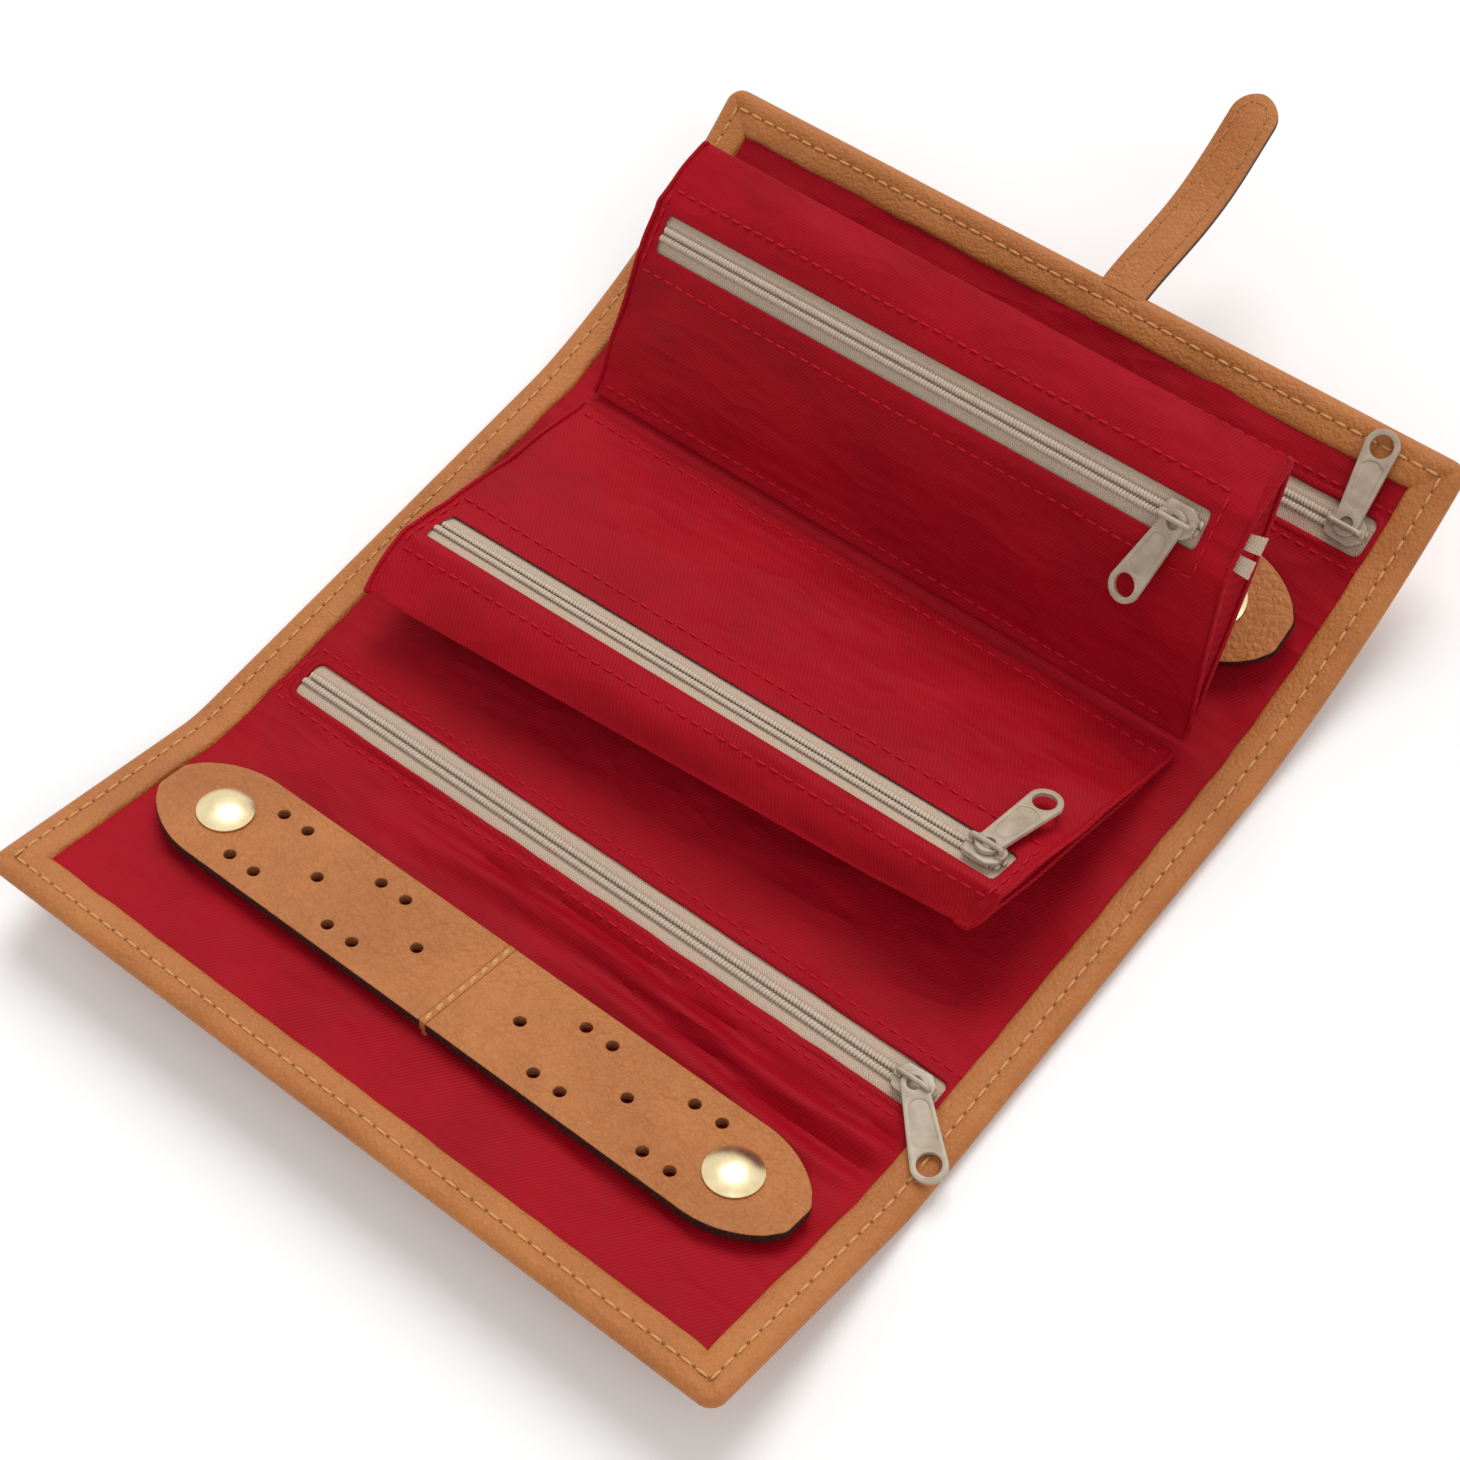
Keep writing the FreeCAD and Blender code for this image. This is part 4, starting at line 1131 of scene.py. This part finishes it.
def strap(name):
    for side, hand in (("left", -1), ("right", 1)):
        axes, origin = strap_axes(name, hand)
        body = f"{name}_{side}_flap"
        flap = put(strap_flap(f"{name}_{side}_strap"), axes, origin)
        cap = put(snap_cap(f"{name}_{side}_snap"), axes, origin)
        for piece, node, slot in ((flap, body, "strap_leather"), (cap, f"{name}_{side}_cap", "snap_metal")):
            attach(piece, body)
            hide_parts(node)
    axes, origin = strap_axes(name, 1)
    edge = STRAP_WIDTH / 2
    bar = outline_plate(f"{name}_strap_middle", [rounded_path(0.88, edge, 0.3, 6)[0]], STRAP_PLY, 0.12)
    foot = outline_plate("foot", [rounded_path(0.6, edge - 0.5, 0.3, 6)[0]], 2.2, 0.1)
    bar = put(join(bar, move(foot, z=-2.25)), axes, origin)
    dress(smooth(bar, 35), STRAP_LEATHER)
    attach(bar, f"{name}_panel")
    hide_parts(f"{name}_strap_bar")
    top = STRAP_PLY - 0.05
    line = np.stack([np.zeros(20), np.linspace(-edge + 0.4, edge - 0.4, 20), np.full(20, top)], 1)
    points = line @ axes + origin
    ups = np.tile(axes[2], (20, 1))
    seam = [(points, ups)]
    for piece in sew(f"{name}_strap_stitches", seam, STRAP_GAUGE, TAN_THREAD, needles=False, slant=0.2):
        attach(piece, f"{name}_panel")


# The two pages, each a soft pouch with a zip along its face.
PAGE_LEFT = -84.0
PAGE_RIGHT = 81.0
PAGE_SIDES = {"left": (PAGE_LEFT, 1), "right": (PAGE_RIGHT, -1)}
PAGE_PLY = 0.6
TAPE_EDGE = 7.1
PAGE_WINDOW = 4.4
PAGES = {
    "near_page": dict(facing=-1, angle=(9.5, 14), length=(75, 68), tilt=17, reach=(53.4, 56.3), rise=(5, 8.6),
                      inset=(4, 4), draw=(2.5, 9.0)),
    "far_page": dict(facing=1, angle=(42, 56), length=(64, 68), tilt=43, reach=(42, 49.7), rise=(6, 11),
                     inset=(4, 9), draw=(2.5, 2.0), tails=85.2),
}


def page_corners(name, end):
    """The section of a page at its left or right end, as points from the root round to the root again."""
    page = PAGES[name]
    hinge = pivot(f"{name}_swing")
    angle = math.radians(page["angle"][end])
    lean = math.radians(page["tilt"]) - angle
    length = page["length"][end]

    def beside(along, rise):
        run = page["reach"][end] + along * math.cos(lean) - rise * math.sin(lean)
        return run, page["rise"][end] + along * math.sin(lean) + rise * math.cos(lean)

    high = PAGE_PLY + 0.1
    root = [(0.6, PAGE_PLY + 0.5), (4.0, PAGE_PLY + 0.7)]
    zip_edges = [beside(along, high) for along in (-TAPE_EDGE, -PAGE_WINDOW, PAGE_WINDOW, TAPE_EDGE)]
    turn = [(length - 0.6, PAGE_PLY + 0.5), (length, 0.5), (length - 0.6, 0.3)]
    corners = [*root, *zip_edges, *turn, (0.6, 0.3)]
    return np.array([
        (hinge[1] + page["facing"] * (run * math.cos(angle) - rise * math.sin(angle)),
         hinge[2] + run * math.sin(angle) + rise * math.cos(angle))
        for run, rise in corners
    ])


# How many rows of cloth lie between each corner of a page's section and the next.
PAGE_ROWS = (3, 16, 3, 3, 3, 7, 2, 2, 18)
FRONT_SHEET, BAND, TURNED_EDGE, BACK_SHEET = 1, 5, 7, 8
PAGE_PUFF = {FRONT_SHEET: 0.9, BAND: 1.3, BACK_SHEET: 1.0}


def page_window(name):
    """Where the opening for a page's zip starts and ends."""
    left, right = PAGES[name]["inset"]
    return PAGE_LEFT + left, PAGE_RIGHT - right


def page_point(name, x, stop):
    """A point of a page's cloth: across the page, and round its section by corner number."""
    ends = [page_corners(name, end) for end in (0, 1)]
    share = ((x - PAGE_LEFT) / (PAGE_RIGHT - PAGE_LEFT))[:, None]
    lower = np.minimum(np.floor(stop).astype(int), len(ends[0]) - 2)
    part = (stop - lower)[:, None]
    first = ends[0][lower] * (1 - share) + ends[1][lower] * share
    second = ends[0][lower + 1] * (1 - share) + ends[1][lower + 1] * share
    spot = first * (1 - part) + second * part
    chord = second - first
    reach = np.linalg.norm(chord, axis=1)
    out = np.stack([chord[:, 1], -chord[:, 0]], 1) / np.maximum(reach, 1e-6)[:, None] * -PAGES[name]["facing"]
    part = part[:, 0]
    share = share[:, 0]
    corner = np.exp(-((stop - TURNED_EDGE) / 1.1) ** 2)
    draw = PAGES[name]["draw"]
    pull = corner * (draw[0] * eased(1 - share / 0.16) - draw[1] * eased((share - 0.8) / 0.2))
    puff = np.array([PAGE_PUFF.get(number, 0.0) for number in range(len(ends[0]))])[lower]
    crown = np.sin(np.pi * part) * (1 - np.abs(2 * share - 1) ** 5)
    seed = 0.5 if name == "near_page" else 1.7
    slack = np.where(puff > 0, np.sin(np.pi * np.clip(part, 0, 1)), 0) * np.where(lower == BACK_SHEET, 0.5, 1)
    around = part * reach
    crease = 0.75 * ripple(x + 0.6 * around, around, 38, seed) + 0.36 * ripple(x, around, 15, seed + 1)
    loose = 1 + 0.8 * eased((np.abs(2 * share - 1) - 0.7) / 0.3)
    lift = puff * crown + crease * slack * loose
    spot = spot + out * lift[:, None]
    return np.stack([x + pull, spot[:, 0], spot[:, 1]], -1), out


def page_cloth(name):
    """The pouch's sheet, over the face, round the fold and back under, with its zip window cut."""
    window = page_window(name)
    parts = [np.linspace(corner, corner + 1, count, endpoint=False) for corner, count in enumerate(PAGE_ROWS)]
    rows = np.append(np.concatenate(parts), len(PAGE_ROWS))
    columns = stations(PAGE_LEFT, PAGE_RIGHT, 2.6, *window)
    piece = sheet(f"{name}_satin", columns, rows, lambda x, stop: page_point(name, x, stop)[0])
    chart = piece.data.uv_layers.active.data
    lengths = np.linalg.norm(np.diff(page_corners(name, 1), axis=0), axis=1)
    around = np.concatenate([[0], np.cumsum(lengths)]) * MM
    for corner in chart:
        corner.uv.y = float(np.interp(corner.uv.y / MM, np.arange(len(around)), around))
    open_rows = (3.0, 4.0)
    middles = [(0.5 * (columns[i] + columns[i + 1]), 0.5 * (rows[j] + rows[j + 1]))
               for j in range(len(rows) - 1) for i in range(len(columns) - 1)]
    chosen = {number for number, (x, stop) in enumerate(middles)
              if window[0] < x < window[1] and open_rows[0] < stop < open_rows[1]}
    cut_out(piece, lambda face: face.index in chosen)
    work(piece, "SOLIDIFY", thickness=0.4 * MM, offset=-PAGES[name]["facing"])
    refine(piece)
    return dress(smooth(tidy(piece, 0.001), 60), SATIN)


def page_upper(name, x, share):
    """The face of a page at one end, from its root to its tip, as a share of the way."""
    stops = np.interp(share, [0, 0.08, 0.62, 0.7, 0.78, 0.86, 1.0], [0, 1, 2, 3, 4, 5, 6.5])
    return page_point(name, x, stops)[0]


def page_end(name, side):
    """The gusset that closes one side of a page, drawn in between its seams."""
    x, inward = PAGE_SIDES[side]

    def place(height, share):
        across = np.full_like(share, x)
        upper = page_upper(name, across, share)
        lower = page_point(name, across, 9 - np.clip(share, 0, 1) * 1.5)[0]
        spot = lower * (1 - height)[:, None] + upper * height[:, None]
        draw = np.sin(np.pi * height) * np.sin(np.pi * share) ** 0.7
        spot[:, 0] += inward * draw * (3.4 + 1.0 * ripple(share * 60, height * 12, 14, 0.8))
        return spot

    piece = sheet(f"{name}_{side}_gusset", np.linspace(0, 1, 9), np.linspace(0, 1, 40), place)
    work(piece, "SOLIDIFY", thickness=0.3 * MM, offset=0)
    return dress(smooth(tidy(piece, 0.001), 60), SATIN_TURNED)


def page_seam(name, side):
    """The rolled seam along one end of a page."""
    x = PAGE_SIDES[side][0]
    stops = np.concatenate([np.linspace(0.2, 6.4, 34), np.linspace(7.6, 8.9, 16)])
    points = page_point(name, np.full_like(stops, x), stops)[0]
    points[:, 0] += 0.35 * ripple(stops * 9, stops * 0, 11, 1.2)
    piece = tube(f"{name}_{side}_seam", points, 1.15)
    return dress(smooth(piece, 60), SATIN_TURNED)


def page_stitches(name):
    """Red stitches along both sides of the page's zip, across its ends and along the root."""
    left, right = page_window(name)
    ends = (left - 2, right + 2)
    runs = [(np.linspace(*ends, 60), np.full(60, stop)) for stop in (1.93, 5.2, 0.9)]
    runs += [(np.full(20, x), np.linspace(1.95, 5.15, 20)) for x in ends]
    lines = []
    for x, stop in runs:
        points, out = page_point(name, x, stop)
        normals = np.stack([np.zeros(len(out)), out[:, 0], out[:, 1]], 1)
        lines.append((points + normals * 0.22, normals))
    return sew(f"{name}_stitches", lines, LINING_GAUGE, RED_THREAD, needles=False)


def page_set(name):
    cloth = page_cloth(name)
    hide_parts(f"{name}_back", f"{name}_front", f"{name}_band")
    around = np.linalg.norm(np.diff(page_corners(name, 1), axis=0), axis=1).sum()
    flat = ((PAGE_RIGHT - PAGE_LEFT) * MM, around * MM)
    pieces = [cloth]
    for side in PAGE_SIDES:
        gusset = page_end(name, side)
        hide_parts(f"{name}_{side}_end")
        pieces += [gusset, page_seam(name, side)]
    for piece in pieces + page_stitches(name):
        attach(piece, name)
    zip_set(name, name, 0.0, 0.8, PAGES[name].get("tails"))


# The closing tongue.
TONGUE_LENGTH = 54.0
TONGUE_WIDTH = 11.6
TONGUE_PLY = 1.1
TONGUE_PITCH = math.radians(13)
TONGUE_TUCK = 2.6


def tongue_point(x, reach, height):
    """A point of the tongue, which bows a little on its way up."""
    root = pivot("tongue_bend")
    bow = 2.2 * np.sin(np.pi * np.clip(reach, 0, None) / TONGUE_LENGTH) ** 2
    drift = 0.9 * np.sin(np.pi * np.clip(reach, 0, None) / TONGUE_LENGTH)
    up = height - bow
    y = root[1] + reach * math.cos(TONGUE_PITCH) - up * math.sin(TONGUE_PITCH)
    z = root[2] + reach * math.sin(TONGUE_PITCH) + up * math.cos(TONGUE_PITCH)
    return np.stack([root[0] + x + drift, y, z], -1)


def tongue_half_width(reach):
    half = TONGUE_WIDTH / 2
    past = np.clip(reach - (TONGUE_LENGTH - half), 0, half)
    return np.sqrt(np.maximum(half ** 2 - past ** 2, 0))


def tongue():
    """Two plies of leather with a rounded tip, painted along the edge."""
    power = 2 / 5

    def place(turn, reach):
        half = tongue_half_width(reach)
        x = half * np.sign(np.cos(turn)) * np.abs(np.cos(turn)) ** power
        crown = 0.12 * (1 - (x / (TONGUE_WIDTH / 2)) ** 2)
        z = TONGUE_PLY * np.sign(np.sin(turn)) * np.abs(np.sin(turn)) ** power
        z = np.where(half < 0.01, 0, z + np.sign(np.sin(turn)) * crown)
        return tongue_point(x, reach, z + 0.08 * ripple(x * 3, reach, 17, 0.9))

    tip = TONGUE_LENGTH - TONGUE_WIDTH / 2
    rounding = tip + TONGUE_WIDTH / 2 * np.sin(np.radians(np.linspace(0, 90, 12)))
    rows = np.concatenate([np.linspace(-TONGUE_TUCK, tip, 34)[:-1], rounding])
    piece = sheet("tongue_leather", np.linspace(0, 2 * math.pi, 33), rows, place)
    tidy(piece, 0.004)
    dress(piece, LEATHER, EDGE)
    for face in piece.data.polygons:
        flat = abs(face.normal.y * -math.sin(TONGUE_PITCH) + face.normal.z * math.cos(TONGUE_PITCH))
        face.material_index = int(flat < 0.35)
    smooth(piece, 50)
    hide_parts("tongue_outer_ply", "tongue_inner_ply")
    tongue_bend(piece)


def tongue_bend(piece):
    """Bake a piece's placement into its mesh, where it stays."""
    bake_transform(piece)


def tongue_seam():
    """The stitches round the tongue, on both of its faces."""
    margin = 2.3
    half = TONGUE_WIDTH / 2 - margin
    end = TONGUE_LENGTH - TONGUE_WIDTH / 2
    flat = [(-half, reach) for reach in np.linspace(1, end, 20)]
    flat += arc(0, end, half, 180, 0, 12)
    flat += [(half, reach) for reach in np.linspace(end, 1, 20)]
    flat = np.array(flat)
    lines = []
    for height in (TONGUE_PLY + 0.16, -TONGUE_PLY - 0.16):
        points = tongue_point(flat[:, 0], flat[:, 1], height)
        above = tongue_point(flat[:, 0], flat[:, 1], height * 2)
        lines.append((points, above - points))
    for piece in sew("tongue_stitches", lines, TONGUE_GAUGE, TONGUE_THREAD):
        tongue_bend(piece)


def tongue_magnet():
    """The magnet between the tongue's two plies."""
    size, thick, reach = 9.0, 0.8, 39.2
    piece = outline_plate("tongue_magnet_disc", [arc(0, 0, size / 2, 0, 350, 36)], thick, 0.1)
    behind, spot, ahead = (tongue_point(0.0, stop, 0.0) for stop in (reach - 1, reach, reach + 1))
    along = (ahead - behind) / np.linalg.norm(ahead - behind)
    across = np.array([1.0, 0.0, 0.0])
    up = np.cross(across, along)
    put(piece, np.stack([across, along, up]), spot - up * thick / 2)
    dress(smooth(piece, 35), PLATING)
    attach(piece, "tongue")
    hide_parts("tongue_magnet")


# Finishes on the pieces that stay as they are in the frame.
def hidden_metal():
    for node, thing in frame["nodes"].items():
        if node.endswith("_stud"):
            dress(thing, BRASS)
        elif node.endswith("_magnet"):
            dress(thing, PLATING)


# The studio: a pale floor, soft light from above and the photograph's camera.
CAMERA_SPOT = (281.72, -228.98, 565.22)
CAMERA_AZIMUTH = math.radians(50.0)
CAMERA_ELEVATION = math.radians(56.806)
CAMERA_ROLL = math.radians(-12.48)
CAMERA_LENS = 77.23


def floor():
    bpy.ops.mesh.primitive_plane_add(size=6, location=(0, 0, -0.0003))
    ground = bpy.context.object
    ground.name = "studio_floor"
    paint = Paint("studio_floor", Roughness=0.9, Specular_IOR_Level=0.1)
    paint.shader.inputs["Base Color"].default_value = (1, 1, 1, 1)
    dress(ground, paint.material)


def camera():
    az, el, roll = CAMERA_AZIMUTH, CAMERA_ELEVATION, CAMERA_ROLL
    back = Vector((math.sin(az) * math.cos(el), -math.cos(az) * math.cos(el), math.sin(el)))
    level = Vector((0, 0, 1)).cross(back).normalized()
    lift = back.cross(level)
    right = level * math.cos(roll) + lift * math.sin(roll)
    up = lift * math.cos(roll) - level * math.sin(roll)
    view = bpy.data.cameras.new("camera")
    view.lens = CAMERA_LENS
    view.sensor_width = 36
    view.clip_start = 0.01
    view.clip_end = 20
    thing = bpy.data.objects.new("camera", view)
    bpy.context.scene.collection.objects.link(thing)
    matrix = Matrix((right, up, back)).transposed().to_4x4()
    matrix.translation = Vector(CAMERA_SPOT) * MM
    thing.matrix_world = matrix
    bpy.context.scene.camera = thing


def lamp(name, spot, spread, strength):
    """A wide soft lamp, far enough off to light the floor evenly; its spread is in degrees."""
    light = bpy.data.lights.new(name, "SUN")
    light.angle = math.radians(spread)
    light.energy = strength
    thing = bpy.data.objects.new(name, light)
    bpy.context.scene.collection.objects.link(thing)
    thing.location = spot
    thing.rotation_mode = "QUATERNION"
    thing.rotation_quaternion = (-Vector(spot)).to_track_quat("-Z", "Y")


def surroundings(level):
    """A plain room that lights the case softly, and is white where it is seen or mirrored."""
    world = bpy.data.worlds.new("studio")
    bpy.context.scene.world = world
    world.use_nodes = True
    room = world.node_tree.nodes["Background"]
    room.inputs["Color"].default_value = (1, 1, 1, 1)
    rays = Nodes(world.node_tree)
    seen, mirrored, through = (
        rays.node("ShaderNodeLightPath", {}, {}, f"Is {kind} Ray")
        for kind in ("Camera", "Glossy", "Transmission")
    )
    strength = level + (1 - level) * seen.or_more(mirrored).or_more(through)
    rays.tree.links.new(strength.socket, room.inputs["Strength"])


def studio():
    floor()
    camera()
    lamp("key", spot=(-0.3, 0.85, 1.25), spread=33, strength=1.5)
    lamp("fill", spot=(0.9, -0.5, 1.2), spread=42, strength=0.5)
    surroundings(level=0.54)
    bpy.context.scene.view_settings.view_transform = "Standard"


panel_covers()
panel_linings()
panel_pockets()
strap("near")
strap("far")
for page_name in PAGES:
    page_set(page_name)
tongue()
tongue_seam()
tongue_magnet()
hidden_metal()
studio()
